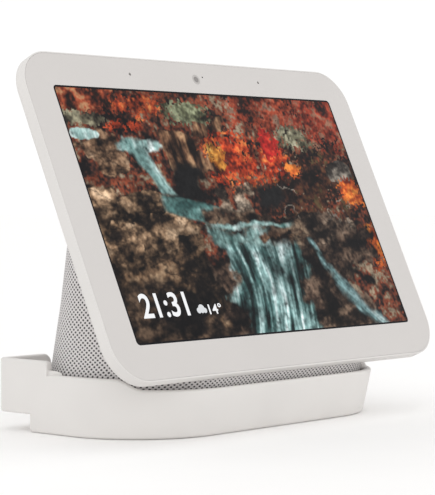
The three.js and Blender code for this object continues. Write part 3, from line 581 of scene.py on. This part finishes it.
def metal(name, tone, roughness, stretch):
    """Metal sheet: rolled or brushed, so its gloss runs in long streaks along one way."""
    material, tree, shader, where = new_material(name)
    run = add(tree, "ShaderNodeMapping", None, {"Vector": where, "Scale": stretch})
    streak = add(tree, "ShaderNodeTexNoise", None,
                 {"Vector": run.outputs[0], "Scale": 1000 / 1.5, "Detail": 4.0})
    base = tones(tree, streak.outputs["Fac"], [c * 0.85 for c in tone], tone)
    gloss = add(tree, "ShaderNodeMapRange", None, {"Value": streak.outputs["Fac"], "To Min": roughness - 0.1,
                                                   "To Max": roughness + 0.1})
    tree.links.new(base, shader.inputs["Base Color"])
    tree.links.new(gloss.outputs[0], shader.inputs["Roughness"])
    shader.inputs["Metallic"].default_value = 1.0
    return material


def knit(settings):
    """Warp-knitted polyester mesh: round eyelets in staggered rows between light melange threads, a matt
    surface with a soft sheen at grazing angles. The eyelets sit in a diagonal lattice; their dark colour is
    painted shade of the depth between the threads."""
    material, tree, shader, _ = new_material("warp_knit_polyester")
    cloth = add(tree, "ShaderNodeUVMap", {"uv_map": "Cloth"}).outputs[0]
    turns = (2 * math.pi / settings.wale, 2 * math.pi / settings.course, 0)
    wobble = add(tree, "ShaderNodeTexNoise", None, {"Vector": cloth, "Scale": 1000 / 9, "Detail": 1.0})
    sway = add(tree, "ShaderNodeVectorMath", {"operation": "SCALE"},
               {0: wobble.outputs["Color"], "Scale": 0.0006})
    bent = add(tree, "ShaderNodeVectorMath", {"operation": "ADD"}, {0: cloth, 1: sway.outputs[0]})
    phase = add(tree, "ShaderNodeVectorMath", {"operation": "MULTIPLY"}, {0: bent.outputs[0], 1: turns})
    parts = add(tree, "ShaderNodeSeparateXYZ", None, {0: phase.outputs[0]})
    across = add(tree, "ShaderNodeMath", {"operation": "COSINE"}, {0: parts.outputs[0]})
    along = add(tree, "ShaderNodeMath", {"operation": "COSINE"}, {0: parts.outputs[1]})
    lattice = add(tree, "ShaderNodeMath", {"operation": "MULTIPLY"},
                  {0: across.outputs[0], 1: along.outputs[0]})
    fibre = add(tree, "ShaderNodeTexNoise", None, {"Vector": cloth, "Scale": 1000 / 0.7, "Detail": 2.0})
    uneven = add(tree, "ShaderNodeMath", {"operation": "MULTIPLY_ADD"},
                 {0: fibre.outputs["Fac"], 1: 0.7, 2: lattice.outputs[0]})
    # painted shade: where the lattice opens, this mask mixes in the dark eyelet colour that stands for the
    # shade in the depth between the threads
    eyelet_shade_mask = add(tree, "ShaderNodeMapRange", {"interpolation_type": "SMOOTHSTEP"},
               {"Value": uneven.outputs[0], "From Min": 0.35, "From Max": 1.0})
    melange = tones(tree, fibre.outputs["Fac"], [c * 0.86 for c in settings.thread],
                    [min(c * 1.1, 1) for c in settings.thread])
    base = add(tree, "ShaderNodeMix", {"data_type": "RGBA"},
               {"Factor": eyelet_shade_mask.outputs[0], "A": melange, "B": (*settings.eyelet_shade, 1)})
    height = add(tree, "ShaderNodeMath", {"operation": "MULTIPLY"}, {0: uneven.outputs[0], 1: -0.5})
    bump = add(tree, "ShaderNodeBump", None,
               {"Height": height.outputs[0], "Distance": 0.5 * MM, "Strength": 0.6})
    tree.links.new(base.outputs["Result"], shader.inputs["Base Color"])
    tree.links.new(bump.outputs[0], shader.inputs["Normal"])
    shader.inputs["Roughness"].default_value = 0.9
    shader.inputs["Sheen Weight"].default_value = 0.25
    shader.inputs["Sheen Roughness"].default_value = 0.5
    shader.inputs["Specular IOR Level"].default_value = 0.2
    return material


def back_printed_glass(tone):
    """Toughened glass printed white from behind: an even tone, a hard gloss, and a very slight waviness."""
    material, tree, shader, where = new_material("back_printed_glass")
    wave = add(tree, "ShaderNodeTexNoise", None, {"Vector": where, "Scale": 1000 / 60, "Detail": 1.0})
    base = tones(tree, wave.outputs["Fac"], [c * 0.985 for c in tone], [c * 1.015 for c in tone])
    tree.links.new(base, shader.inputs["Base Color"])
    shader.inputs["Roughness"].default_value = 0.3
    shader.inputs["IOR"].default_value = 1.45
    return material


def lit_panel(glow):
    """Lit liquid-crystal panel bonded behind coated glass: it gives its own light, point by point, and
    mirrors little."""
    material, tree, shader, _ = new_material("lit_lcd_panel")
    light = add(tree, "ShaderNodeAttribute", {"attribute_name": "picture"}).outputs["Color"]
    tree.links.new(light, shader.inputs["Emission Color"])
    shader.inputs["Emission Strength"].default_value = glow
    shader.inputs["Base Color"].default_value = (0.004, 0.004, 0.005, 1)
    shader.inputs["Roughness"].default_value = 0.12
    shader.inputs["Specular IOR Level"].default_value = 0.08
    return material


FINISHES = {}
SLOTS = {"camera_window": "lens_glass", "camera_surround": "grey_rubber"}  # slots these finishes stand for


def finish(slot):
    """The finish of a material slot, made when it is first asked for."""
    scene = bpy.context.scene
    recipes = {
        "holder_plastic": lambda: moulded("moulded_abs_satin", scene.sd_holder.plastic, 0.5, 0.9, 0.02),
        "white_shell": lambda: moulded("moulded_pc_abs_matt", scene.sd_head.shell, 0.55, 0.8, 0.02),
        "front_glass": lambda: back_printed_glass(scene.sd_head.border),
        "screen": lambda: lit_panel(scene.sd_head.glow),
        "knit_fabric": lambda: knit(scene.sd_knit),
        "dark_plastic": lambda: moulded("moulded_abs_dark", linear("3C3D40"), 0.6, 0.8, 0.03),
        "grey_rubber": lambda: moulded("moulded_silicone", linear("9B9894"), 0.8, 1.2, 0.04, ior=1.41),
        "steel": lambda: metal("rolled_steel", linear("B9BBBD"), 0.35, (1, 0.1, 1)),
        "aluminium": lambda: metal("stamped_aluminium", linear("A9ACAF"), 0.4, (0.1, 1, 1)),
        "circuit_board": lambda: moulded("solder_masked_board", linear("1F5F43"), 0.45, 2.0, 0.03, 0.15),
        "cone_paper": lambda: moulded("pressed_paper", linear("202123"), 0.8, 1.5, 0.08, 0.12),
        "polyimide": lambda: moulded("polyimide_film", linear("8D5A2B"), 0.4, 2.5, 0.01, 0.08),
        "camera_window": lambda: moulded("tinted_lens_window", linear("85817F"), 0.15, 4.0, 0.0, 0.2,
                                         ior=1.52),
        "camera_surround": lambda: moulded("printed_lens_surround", linear("B5B1AE"), 0.3, 4.0, 0.0, 0.02),
        "lens_glass": lambda: moulded("coated_lens_glass", linear("0B0C10"), 0.1, 4.0, 0.0, 0.2, ior=1.52),
    }
    if slot not in FINISHES:
        FINISHES[slot] = recipes[slot]()
    return FINISHES[slot]


# ---------------------------------------------------------------- screen picture
def lattice_noise(x, y, seed):
    """Value noise: hashed heights at whole points, joined by soft steps."""
    i, j = np.floor(x), np.floor(y)

    def height(a, b):
        h = np.sin(a * 127.1 + b * 311.7 + seed * 74.7) * 43758.5453
        return h - np.floor(h)

    s, t = smooth(x - i), smooth(y - j)
    low = height(i, j) * (1 - s) + height(i + 1, j) * s
    high = height(i, j + 1) * (1 - s) + height(i + 1, j + 1) * s
    return low * (1 - t) + high * t


def layered_noise(x, y, seed, octaves=4):
    """Sum of value noise at doubling frequency and halving height, 0 to 1."""
    total = sum(lattice_noise(x * 2**k, y * 2**k, seed + k) / 2**k for k in range(octaves))
    return total / (2 - 0.5 ** (octaves - 1))


def shade(value, *codes):
    """Linear colour along a row of tones: value 0 is the first tone and 1 the last."""
    tones_ = np.array([linear(code) for code in codes])
    at = np.linspace(0, 1, len(codes))
    return np.stack([np.interp(value, at, tones_[:, k]) for k in range(3)], -1)


def screen_picture(u, v):
    """Linear colour of the screen at u from the left and v from the top, each 0 to 1: an autumn
    gorge. Leaves, rocks and water are laid over each other; each patch is an ellipse with a noisy outline,
    rocks carry strata and cracks, and water is streaked along its fall."""
    x, y = u * 1.6, v
    wobble = layered_noise(x * 13, y * 13, 3, 5) - 0.5
    grain = layered_noise(x * 95, y * 95, 5, 2) - 0.5
    fine = layered_noise(x * 70, y * 70, 11, 3)
    clump = layered_noise(x * 16, y * 16, 21, 4)

    def patch(cu, cv, ru, rv, edge=0.2, rough=3.6):
        reach = ((u - cu) / ru) ** 2 + ((v - cv) / rv) ** 2 + rough * wobble
        return smooth((1 - reach) / edge)[:, None]

    def bush(cu, cv, ru, rv):
        reach = ((u - cu) / ru) ** 2 + ((v - cv) / rv) ** 2 + 3.0 * wobble + 2.4 * grain
        return smooth((1 - reach) / 0.25)[:, None]

    def block(left, right, top, foot, soft=0.012):
        inside = np.minimum(np.minimum(u - left, right - u), np.minimum(v - top, foot - v)) + 0.11 * wobble
        return smooth(inside / soft)[:, None]

    def cover(above, mask):
        nonlocal picture
        picture = picture * (1 - mask) + above * mask

    def leaves(seed, *codes):
        leaf = layered_noise(x * 70, y * 70, seed, 2)
        mix = np.clip(0.45 + 1.1 * (leaf - 0.5) + 1.9 * (layered_noise(x * 15, y * 19, seed + 5) - 0.5), 0, 1)
        return shade(mix, *codes)

    def rock(seed, *codes):
        lean = y + 0.25 * x
        strata = layered_noise(x * 5, lean * 34, seed, 4)
        lump = layered_noise(x * 14, y * 17, seed + 7, 5)
        crack = np.abs(layered_noise(x * 13, y * 21, seed + 13, 4) - 0.5)
        mix = np.clip(0.42 + 1.1 * (strata - 0.5) + 2.1 * (lump - 0.5) + 0.5 * (fine - 0.5), 0, 1)
        return shade(mix, *codes) * np.clip(0.3 + crack * 10, 0, 1)[:, None]

    def water(across, along, seed, *codes):
        streak = layered_noise(across * 46, along * 4, seed, 3)
        foam = layered_noise(across * 20, along * 9, seed + 4, 4)
        return shade(np.clip(0.45 + 1.3 * (streak - 0.5) + 1.3 * (foam - 0.5), 0, 1), *codes)

    picture = leaves(31, "0E0A0A", "241815", "4A2A20", "7C3A24", "6A4A38", "8A7A66")
    for seed, tones_, place in (
        (40, ("1E120E", "5E2A1C", "96452A", "A87A58"), (0.12, 0.05, 0.16, 0.07)),
        (41, ("2A1510", "82301A", "B85028", "C97F48"), (0.26, 0.06, 0.09, 0.06)),
        (46, ("5A1F12", "A83C1E", "C8542E"), (0.18, 0.155, 0.06, 0.03)),
        (42, ("20120F", "6E2E1E", "A0442A", "8A6A58"), (0.72, 0.07, 0.20, 0.09)),
        (47, ("24120F", "702A1C", "A03E28", "8E6450"), (0.93, 0.12, 0.12, 0.14)),
        (43, ("29281E", "5F6249", "9AA080"), (0.42, 0.09, 0.09, 0.05)),
        (48, ("2C2922", "66604E", "A09A80"), (0.06, 0.13, 0.09, 0.03)),
        (44, ("3A3A2C", "6D6A55", "A4A088"), (0.80, 0.20, 0.07, 0.06)),
        (45, ("120C0A", "2E1C16", "533020", "57482D"), (0.80, 0.40, 0.19, 0.18)),
    ):
        cover(leaves(seed, *tones_), bush(*place))
    cover(rock(51, "1E1712", "5A4332", "93745A", "BFA084"), patch(0.09, 0.27, 0.075, 0.10, rough=2.4))
    column = layered_noise(x * 46, y * 7, 57, 4)
    cliff = shade(np.clip(0.5 + 1.9 * (column - 0.5) + 1.3 * (clump - 0.5), 0, 1),
                  "17100C", "3E2A1E", "7A5840", "A88463")
    for left, right, top in ((0.30, 0.425, 0.17), (0.44, 0.53, 0.12)):
        cover(cliff, block(left, right, top, 0.38))
    cover(np.full_like(picture, 0.006), block(0.245, 0.425, 0.30, 0.47, 0.05))
    cover(np.full_like(picture, 0.008), block(0.55, 0.72, 0.36, 0.50, 0.06))
    for seed, tones_, place in (
        (61, ("4E150E", "9E3218", "CC5028", "DE8244"), (0.58, 0.28, 0.14, 0.11)),
        (62, ("9C5A20", "D08A38", "E8B45C"), (0.475, 0.27, 0.03, 0.05)),
        (63, ("7E1412", "B82420", "D8442E"), (0.685, 0.21, 0.035, 0.055)),
        (67, ("8A3A16", "D0662A", "E88A3C"), (0.755, 0.32, 0.03, 0.03)),
    ):
        cover(leaves(seed, *tones_), bush(*place))
    cover(rock(52, "2B2622", "4F4943", "7C746A", "A39A8E"), patch(0.93, 0.33, 0.05, 0.05, rough=2.4))
    cover(leaves(64, "6B2412", "B85020", "DE8438"), bush(0.955, 0.43, 0.05, 0.06))
    cover(leaves(65, "6E2810", "C05A20", "E48A36"), bush(0.975, 0.65, 0.055, 0.10))
    cover(rock(53, "17110E", "3E3128", "6E5C4E", "8F7C6B"), patch(0.80, 0.60, 0.14, 0.10, rough=2.6))
    low = smooth((v - 0.60 + 0.3 * wobble) / 0.05) * smooth((0.93 - u + 0.4 * wobble) / 0.05)
    cover(rock(49, "0C0908", "231A15", "4A392E", "6E5A4B"), low[:, None])
    pale = np.abs(layered_noise(x * 15 + 7 * y, y * 15 - 6 * x, 68, 3) - 0.5)
    twigs = smooth(1 - pale / 0.035)[:, None] * np.maximum(patch(0.69, 0.43, 0.05, 0.09),
                                                              patch(0.87, 0.50, 0.06, 0.08))
    cover(shade(fine, "6E645A", "B8B0A4"), np.clip(0.7 * twigs, 0, 1))
    slope = 0.355 + 0.62 * np.maximum(u - 0.05, 0) + 0.16 * wobble
    bank = (smooth((v - slope) / 0.02) * smooth((0.345 - u + 0.10 * wobble) / 0.02))[:, None]
    cover(rock(54, "100C09", "33271D", "6A523D", "947A60"), bank)
    for k, (cu, cv, ru, rv) in enumerate((
        (0.05, 0.48, 0.10, 0.09), (0.17, 0.47, 0.10, 0.05), (0.15, 0.60, 0.13, 0.09),
        (0.27, 0.55, 0.06, 0.06), (0.04, 0.66, 0.08, 0.08),
    )):
        lit = np.clip(1.25 - 0.9 * (v - cv) / rv, 0.35, 1.7)[:, None]
        stone = rock(80 + 3 * k, "17110D", "463628", "7E654E", "A68C72") * lit
        cover(stone, patch(cu, cv, ru, rv, 0.15, 2.2))
    cover(rock(55, "0A0807", "1E1712", "3E3025", "5E4B3B"), block(-0.1, 0.335, 0.76, 1.1, 0.05))
    cover(water(x, y, 71, "4A6B67", "97B5B1", "DCE9E7"), patch(0.05, 0.19, 0.04, 0.03, rough=2.4))
    cover(water(x, y, 72, "456A66", "8FB0AC", "DDEBE9"), block(0.13, 0.285, 0.218, 0.262, 0.02))
    edge_left = 0.175 + 0.06 * np.clip((v - 0.24) / 0.2, 0, 1)
    thin = smooth(np.minimum(u - edge_left, edge_left + 0.062 - u) / 0.012 + 2.0 * wobble)
    cover(water(x - 0.48 * (v - 0.24), y, 73, "2C4643", "7A9D99", "CFE0DE"),
          (thin * smooth((v - 0.24) / 0.01) * smooth((0.44 - v) / 0.02))[:, None])
    pool_top = 0.42 + 0.06 * np.clip((u - 0.23) / 0.2, 0, 1)
    pool = smooth(np.minimum(v - pool_top, pool_top + 0.09 - v) / 0.015 + 1.5 * wobble)
    pool = (pool * smooth((u - 0.225) / 0.02) * smooth((0.44 - u) / 0.02))[:, None]
    cover(water(y * 0.6, x, 74, "2C4A48", "5C837F", "A9C4C1"), pool)
    for seed, left, right, top, foot in ((56, 0.42, 0.475, 0.39, 0.50), (58, 0.478, 0.55, 0.385, 0.51)):
        lit = np.clip(1.5 - 8 * (v - top), 0.5, 1.6)[:, None]
        cover(rock(seed, "261F1A", "5E4F42", "93806E", "B5A390") * lit, block(left, right, top, foot))
    cover(rock(59, "100C0A", "30241C", "5C4839", "84705C"), block(0.36, 0.74, 0.50, 0.68, 0.03))
    lip = smooth(1 - np.abs(v - 0.555 - 0.06 * (0.6 - u) + 0.05 * wobble) / 0.013)
    lip = (lip * smooth((u - 0.36) / 0.03) * smooth((0.69 - u) / 0.05))[:, None]
    cover(water(x, y, 75, "4F7571", "98B8B4", "E2EEEC"), lip)
    shelf = block(0.335, 0.58, 0.565, 0.665, 0.025)
    cover(water(x, y, 76, "2E4A47", "7F9F9B", "D5E5E3"), shelf)
    cover(rock(60, "1E1510", "5A4030", "8E6C50"), block(0.545, 0.715, 0.575, 0.63, 0.02))
    drop = np.clip((v - 0.62) / 0.38, 0, 1)
    left, right = 0.345 - 0.01 * drop + 0.035 * np.sin(drop * 3), 0.705 - 0.06 * drop
    inside = np.minimum(u - left, right - u) + 0.13 * wobble
    spread = (u - left) / (right - left)
    top = 0.625 + 0.05 * wobble
    fall = (smooth(inside / 0.03) * smooth((v - top) / 0.03))[:, None]
    curtain = water(spread * 0.62, y + 0.2 * spread, 77, "0F1A1A", "3A5856", "86A6A4", "D2E2E2")
    ledges = layered_noise(x * 9, y * 12, 79, 4)[:, None]
    middle = np.exp(-(((u - 0.47) / 0.10) ** 2))[:, None]
    cover(curtain * np.clip(2.6 * ledges - 0.6 + 0.55 * middle, 0.12, 1.25), fall)
    cover(rock(66, "0B0806", "1E1610", "43342A", "6C5848"),
          np.maximum(block(0.66, 0.84, 0.80, 1.1, 0.02), block(0.70, 0.80, 0.72, 0.84, 0.02)))
    way = 0.715 + 0.185 * drop**1.5
    stream = smooth(1 - np.abs(u - way + 0.05 * wobble) / (0.014 + 0.026 * drop)) * smooth((v - 0.61) / 0.02)
    cover(water(x - way * 1.6, y, 78, "2B4442", "77989A", "C9DBDA"), stream[:, None])
    light = 0.98 + 1.2 * (clump - 0.5) + 1.1 * (fine - 0.5) + 0.9 * grain
    return np.clip(picture * np.maximum(light, 0.1)[:, None], 0, 1)


# ---------------------------------------------------------------- operators
class PieceOperator:
    bl_options = {"REGISTER", "UNDO"}


class SD_OT_holder(PieceOperator, bpy.types.Operator):
    """Builds the scooped tray with its two rear ears and wall-screw holes"""

    bl_idname = "smart_display.holder"
    bl_label = "Holder"

    def execute(self, context):
        sizes = context.scene.sd_holder
        tray = make_object("holder", *tray_surface(sizes.rim_radius / MM, sizes.foot_radius / MM))
        for side in (-1, 1):
            combine(tray, make_object("tool", *ear_surface(side)), "UNION")
            combine(tray, make_object("tool", *ear_floor(side)), "UNION")
        for x in (-WALL_SCREW_X, WALL_SCREW_X):
            for radius, end in ((WALL_SCREW_BORE, 70), (WALL_SCREW_HEAD, HOLDER_BACK - EAR_WALL - 0.2)):
                combine(tray, cylinder_tool(x, WALL_SCREW_Z, radius, 10, end), "DIFFERENCE")
        finish_piece(tray, "holder", "holder_plastic", finish("holder_plastic"), "holder_tray")
        return {"FINISHED"}


class SD_OT_sleeve(PieceOperator, bpy.types.Operator):
    """Builds the knitted sleeve of the loudspeaker base"""

    bl_idname = "smart_display.sleeve"
    bl_label = "Knitted sleeve"

    def execute(self, context):
        sleeve = make_object("knit_sleeve", *sleeve_surface(context.scene.sd_knit.wale / MM))
        wall = sleeve.modifiers.new("Wall", "SOLIDIFY")
        wall.thickness, wall.offset = SLEEVE_THICK * MM, -1
        settle(sleeve)
        half, rise, radius = SOCKET_OPENING
        socket = box_tool((-half, 36, POWER_Z - rise), (half, 60, POWER_Z + rise), radius)
        combine(sleeve, socket, "DIFFERENCE")
        finish_piece(sleeve, "display_unit", "knit_fabric", finish("knit_fabric"), "fabric_sleeve", angle=50)
        return {"FINISHED"}


class SD_OT_rear_shell(PieceOperator, bpy.types.Operator):
    """Builds the white rear shell with its openings for the two controls"""

    bl_idname = "smart_display.rear_shell"
    bl_label = "Rear shell"

    def execute(self, context):
        r = context.scene.sd_head.lip_radius / MM
        size = (HEAD_WIDTH, HEAD_HEIGHT, HEAD_CORNER)
        seat, small = LIP - GLASS_GAP, 0.1
        turn, wide = quarter(5), quarter(16)
        floor = HEAD_DEPTH - SHELL_WALL
        inner = [(HEAD_HEIGHT / 2, floor), (60, floor), (14.5, floor), (12.8, floor - 1), (6.6, 8.2),
                 (6.6, LEDGE), (seat, LEDGE), (seat, small)]
        lip = [(seat - small * (1 - math.cos(a)), small * (1 - math.sin(a))) for a in turn[1:]]
        edge = [(r * (1 - math.sin(a)), r * (1 - math.cos(a))) for a in turn]
        side = [(0, SIDE_DEPTH * t) for t in (0.4, 0.7)]
        power = 2 / TURN_POWER
        bend = [(TURN_REACH * (1 - abs(math.cos(a)) ** power), SIDE_DEPTH + TURN_DEPTH * math.sin(a) ** power)
                for a in wide]
        back = [(i, HEAD_DEPTH) for i in (20, 34, 55, HEAD_HEIGHT / 2)]
        rings = head_rings([(*size, i, d) for i, d in inner + lip + edge + side + bend + back])
        shell = make_object("rear_shell_form", head_to_row(rings), grid_faces(*rings.shape[:2]))
        depths = (HEAD_DEPTH - 4, HEAD_DEPTH + 2)
        openings = ((0, MUTE_Z, MUTE_OPENING), (ROCKER_X, ROCKER_Z, ROCKER_OPENING))
        for x, z, (half, rise, radius) in openings:
            low, high = (x - half, depths[0], z - rise), (x + half, depths[1], z + rise)
            combine(shell, box_tool(low, high, radius, head_to_row), "DIFFERENCE")
        finish_piece(shell, "display_unit", "white_shell", finish("white_shell"), "rear_shell")
        return {"FINISHED"}


class SD_OT_glass(PieceOperator, bpy.types.Operator):
    """Builds the glass with its white border and microphone holes"""

    bl_idname = "smart_display.glass"
    bl_label = "Glass border"

    def execute(self, context):
        outer = (HEAD_WIDTH - 2 * LIP, HEAD_HEIGHT - 2 * LIP, HEAD_CORNER - LIP)
        window = (SCREEN_WIDTH, SCREEN_HEIGHT, SCREEN_CORNER)
        mix = [tuple(a + t * (b - a) for a, b in zip(window, outer)) for t in (0.02, 0.35, 0.7, 0.97)]
        r = 0.1
        edge = [(*outer, r * (1 - math.sin(a)), r * (1 - math.cos(a))) for a in quarter(4)]
        levels = [(*window, 0, 0), *[(*m, 0, 0) for m in mix], *edge, (*outer, 0, GLASS_THICK - 0.1),
                  (*outer, 0.1, GLASS_THICK), (*window, 0, GLASS_THICK), (*window, 0, 0)]
        rings = head_rings(levels)
        glass = make_object("glass_border", head_to_row(rings), grid_faces(*rings.shape[:2]))
        for x in (-MIC_X, MIC_X):
            combine(glass, cylinder_tool(x, SENSOR_Z, MIC_RADIUS, -1, 3, head_to_row, 20), "DIFFERENCE")
        finish_piece(glass, "display_unit", "front_glass", finish("front_glass"), "front_glass")
        return {"FINISHED"}


class SD_OT_screen(PieceOperator, bpy.types.Operator):
    """Builds the lit panel with its picture"""

    bl_idname = "smart_display.screen"
    bl_label = "Lit screen"

    def execute(self, context):
        columns, rows = 380, 240
        u, v = np.meshgrid(np.linspace(0, 1, columns), np.linspace(0, 1, rows))
        grid = np.stack([(u - 0.5) * SCREEN_WIDTH, 0 * u + 0.15, (0.5 - v) * SCREEN_HEIGHT], -1)
        faces = grid_faces(rows, columns, around=False)[:, ::-1]
        picture = screen_picture(u.ravel(), v.ravel())
        panel = make_object("lit_panel", head_to_row(grid), faces, tints={"picture": picture})
        finish_piece(panel, "display_unit", "screen", finish("screen"), "lcd_panel")
        frame_levels = [(SCREEN_WIDTH - 2 * i, SCREEN_HEIGHT - 2 * i, max(SCREEN_CORNER - i, 0.8), 0, 0.08)
                        for i in (-0.1, 1.0)]
        rings = head_rings(frame_levels)
        edge = make_object("black_matrix", head_to_row(rings), grid_faces(*rings.shape[:2]),
                           tints={"picture": (0.003, 0.003, 0.004)})
        finish_piece(edge, "display_unit", "screen", finish("screen"))
        return {"FINISHED"}


def figures(name, text, width, height, left, foot):
    """Lit figures on the screen: the filled outlines of the letters, fitted to a width and height with their
    lower left corner at a place measured from the middle of the screen."""
    curve = bpy.data.curves.new(name, "FONT")
    curve.body = text
    curve.offset = 0.018
    written = bpy.data.objects.new(name, curve)
    bpy.context.scene.collection.objects.link(written)
    mesh = bpy.data.meshes.new_from_object(written.evaluated_get(bpy.context.evaluated_depsgraph_get()))
    bpy.data.objects.remove(written)
    flat = np.empty(len(mesh.vertices) * 3)
    mesh.vertices.foreach_get("co", flat)
    mesh.calc_loop_triangles()
    corners = np.empty(len(mesh.loop_triangles) * 3, np.int32)
    mesh.loop_triangles.foreach_get("vertices", corners)
    bpy.data.meshes.remove(mesh)
    at = flat.reshape(-1, 3)[:, :2]
    at = (at - at.min(0)) / np.ptp(at, axis=0) * (width, height) + (left, foot)
    points = np.stack([at[:, 0], np.full(len(at), 0.05), at[:, 1]], -1)
    faces = corners.reshape(-1, 3)[:, [0, 1, 2, 2]]
    made = make_object(name, head_to_row(points), faces, tints={"picture": (0.92, 0.93, 0.94)})
    finish_piece(made, "display_unit", "screen", finish("screen"))


class SD_OT_figures(PieceOperator, bpy.types.Operator):
    """Builds the lit clock and weather figures on the screen"""

    bl_idname = "smart_display.figures"
    bl_label = "Clock and weather figures"

    def execute(self, context):
        left, top = -SCREEN_WIDTH / 2, SCREEN_HEIGHT / 2
        figures("clock_figures", "21:31", 32.5, 12.6, left + 10.4, top - 0.905 * SCREEN_HEIGHT)
        figures("warmth_figures", "14\u00b0", 9.6, 5.4, left + 0.265 * SCREEN_WIDTH,
                top - 0.905 * SCREEN_HEIGHT)
        discs = np.array([(-2.0, -0.4, 1.5), (0.2, 0.5, 2.2), (2.3, -0.5, 1.4), (0.2, -0.9, 1.0)])
        angle = np.linspace(0, 2 * math.pi, 72, endpoint=False)
        ray = np.stack([np.cos(angle), np.sin(angle)])
        toward = discs[:, :2] @ ray
        reach = (toward + np.sqrt(np.maximum(discs[:, 2:] ** 2 - (discs[:, :2] ** 2).sum(1, keepdims=True)
                                             + toward**2, 0))).max(0)
        rim = ray * reach
        rim[1] = np.maximum(rim[1], -1.9)
        cloud = np.stack([rim * t for t in (0.0, 0.5, 1.0)])
        points = np.stack([cloud[:, 0] + left + 0.241 * SCREEN_WIDTH, np.full((3, 72), 0.05),
                           cloud[:, 1] + top - 0.885 * SCREEN_HEIGHT], -1)
        made = make_object("cloud_figure", head_to_row(points), grid_faces(3, 72),
                           tints={"picture": (0.72, 0.74, 0.76)})
        finish_piece(made, "display_unit", "screen", finish("screen"))
        return {"FINISHED"}


class SD_OT_camera_row(PieceOperator, bpy.types.Operator):
    """Builds the camera's ring and lens and the indicator in the glass border"""

    bl_idname = "smart_display.camera_row"
    bl_label = "Camera and indicator"

    def execute(self, context):
        ring = [(1.7, 0.2), (1.7, -0.02), (1.85, -0.05), (2.65, -0.05), (2.8, -0.02), (2.8, 0.2), (1.7, 0.2)]
        lens = [(0, -0.05), (0.7, -0.048), (1.3, -0.04), (1.7, -0.02), (1.7, 0.2), (0, 0.2)]
        light = [(0, -0.04), (0.35, -0.035), (0.45, -0.01), (0.45, 0.2), (0, 0.2)]
        for name, profile, x, z, slot, node in (
            ("camera_ring_trim", ring, CAMERA_X, CAMERA_Z, "camera_surround", "camera_ring"),
            ("camera_lens_dome", lens, CAMERA_X, CAMERA_Z, "camera_window", "camera_lens"),
            ("indicator_light", light, CAMERA_X + 5.6, CAMERA_Z + 1.6, "lens_glass", "camera_led"),
        ):
            grid, faces = turned(profile, x, z)
            made = make_object(name, head_to_row(grid), faces)
            finish_piece(made, "display_unit", SLOTS.get(slot, slot), finish(slot), node)
        return {"FINISHED"}


class SD_OT_finishes(PieceOperator, bpy.types.Operator):
    """Gives each node of the frame that still shows its finish"""

    bl_idname = "smart_display.finishes"
    bl_label = "Inner parts"

    def execute(self, context):
        for row in frame["record"]["subparts"]:
            part = frame["nodes"][row["node"]]
            part.data.materials.clear()
            part.data.materials.append(finish(row["material_slot"]))
        return {"FINISHED"}


class SD_OT_stage(PieceOperator, bpy.types.Operator):
    """Sets up the floor, the light and the camera"""

    bl_idname = "smart_display.stage"
    bl_label = "Floor, light and camera"

    def execute(self, context):
        scene = context.scene
        settings = scene.sd_stage
        scene.view_settings.view_transform = "Standard"
        radii = np.linspace(0, 9000, 40)
        angle = np.linspace(0, 2 * math.pi, 72, endpoint=False)
        disc = np.stack([radii[:, None] * np.cos(angle), radii[:, None] * np.sin(angle),
                         np.full((40, 72), -0.05)], -1)
        floor = make_object("studio_floor", disc, grid_faces(40, 72))
        floor.data.materials.append(moulded("matt_floor_paint", settings.floor, 0.9, 3.0, 0.02, 0.005))
        world = bpy.data.worlds.new("white_surround")
        scene.world = world
        world.use_nodes = True
        world.node_tree.nodes["Background"].inputs["Color"].default_value = (1, 1, 1, 1)
        world.node_tree.nodes["Background"].inputs["Strength"].default_value = settings.sky
        lamp = bpy.data.lights.new("key_lamp", "AREA")
        lamp.shape, lamp.size, lamp.energy = "DISK", LAMP_WIDTH, settings.key
        stand = bpy.data.objects.new("key_lamp", lamp)
        stand.location = LAMP_PLACE
        stand.rotation_euler = (Vector(LAMP_AIM) - Vector(LAMP_PLACE)).to_track_quat("-Z", "Y").to_euler()
        scene.collection.objects.link(stand)
        lens = bpy.data.cameras.new("camera")
        lens.sensor_width, lens.lens = 36, VIEW_LENS
        lens.clip_start, lens.clip_end = 0.05, 60
        camera = bpy.data.objects.new("camera", lens)
        camera.location = VIEW_PLACE
        camera.rotation_euler = (math.pi / 2 - VIEW_DIP, 0, -VIEW_TURN)
        scene.collection.objects.link(camera)
        scene.camera = camera
        return {"FINISHED"}


class SD_PT_panel(bpy.types.Panel):
    """Lists the settings and the pieces"""

    bl_idname = "SD_PT_panel"
    bl_label = "Smart display"
    bl_space_type = "VIEW_3D"
    bl_region_type = "UI"
    bl_category = "Smart display"

    def draw(self, context):
        for group in GROUPS:
            box = self.layout.box()
            settings = getattr(context.scene, GROUPS[group])
            for name in group.__annotations__:
                box.prop(settings, name)
        for operator in OPERATORS:
            self.layout.operator(operator.bl_idname)


GROUPS = {HolderSettings: "sd_holder", HeadSettings: "sd_head", KnitSettings: "sd_knit",
          StageSettings: "sd_stage"}
OPERATORS = (SD_OT_stage, SD_OT_holder, SD_OT_sleeve, SD_OT_rear_shell, SD_OT_glass, SD_OT_screen,
             SD_OT_figures, SD_OT_camera_row, SD_OT_finishes)


def register():
    for group, name in GROUPS.items():
        bpy.utils.register_class(group)
        setattr(bpy.types.Scene, name, PointerProperty(type=group))
    for one in (*OPERATORS, SD_PT_panel):
        bpy.utils.register_class(one)


def unregister():
    for one in (SD_PT_panel, *reversed(OPERATORS)):
        bpy.utils.unregister_class(one)
    for group, name in GROUPS.items():
        delattr(bpy.types.Scene, name)
        bpy.utils.unregister_class(group)


def main():
    register()
    for operator in OPERATORS:
        group, name = operator.bl_idname.split(".")
        getattr(getattr(bpy.ops, group), name)()


if __name__ == "__main__":
    main()
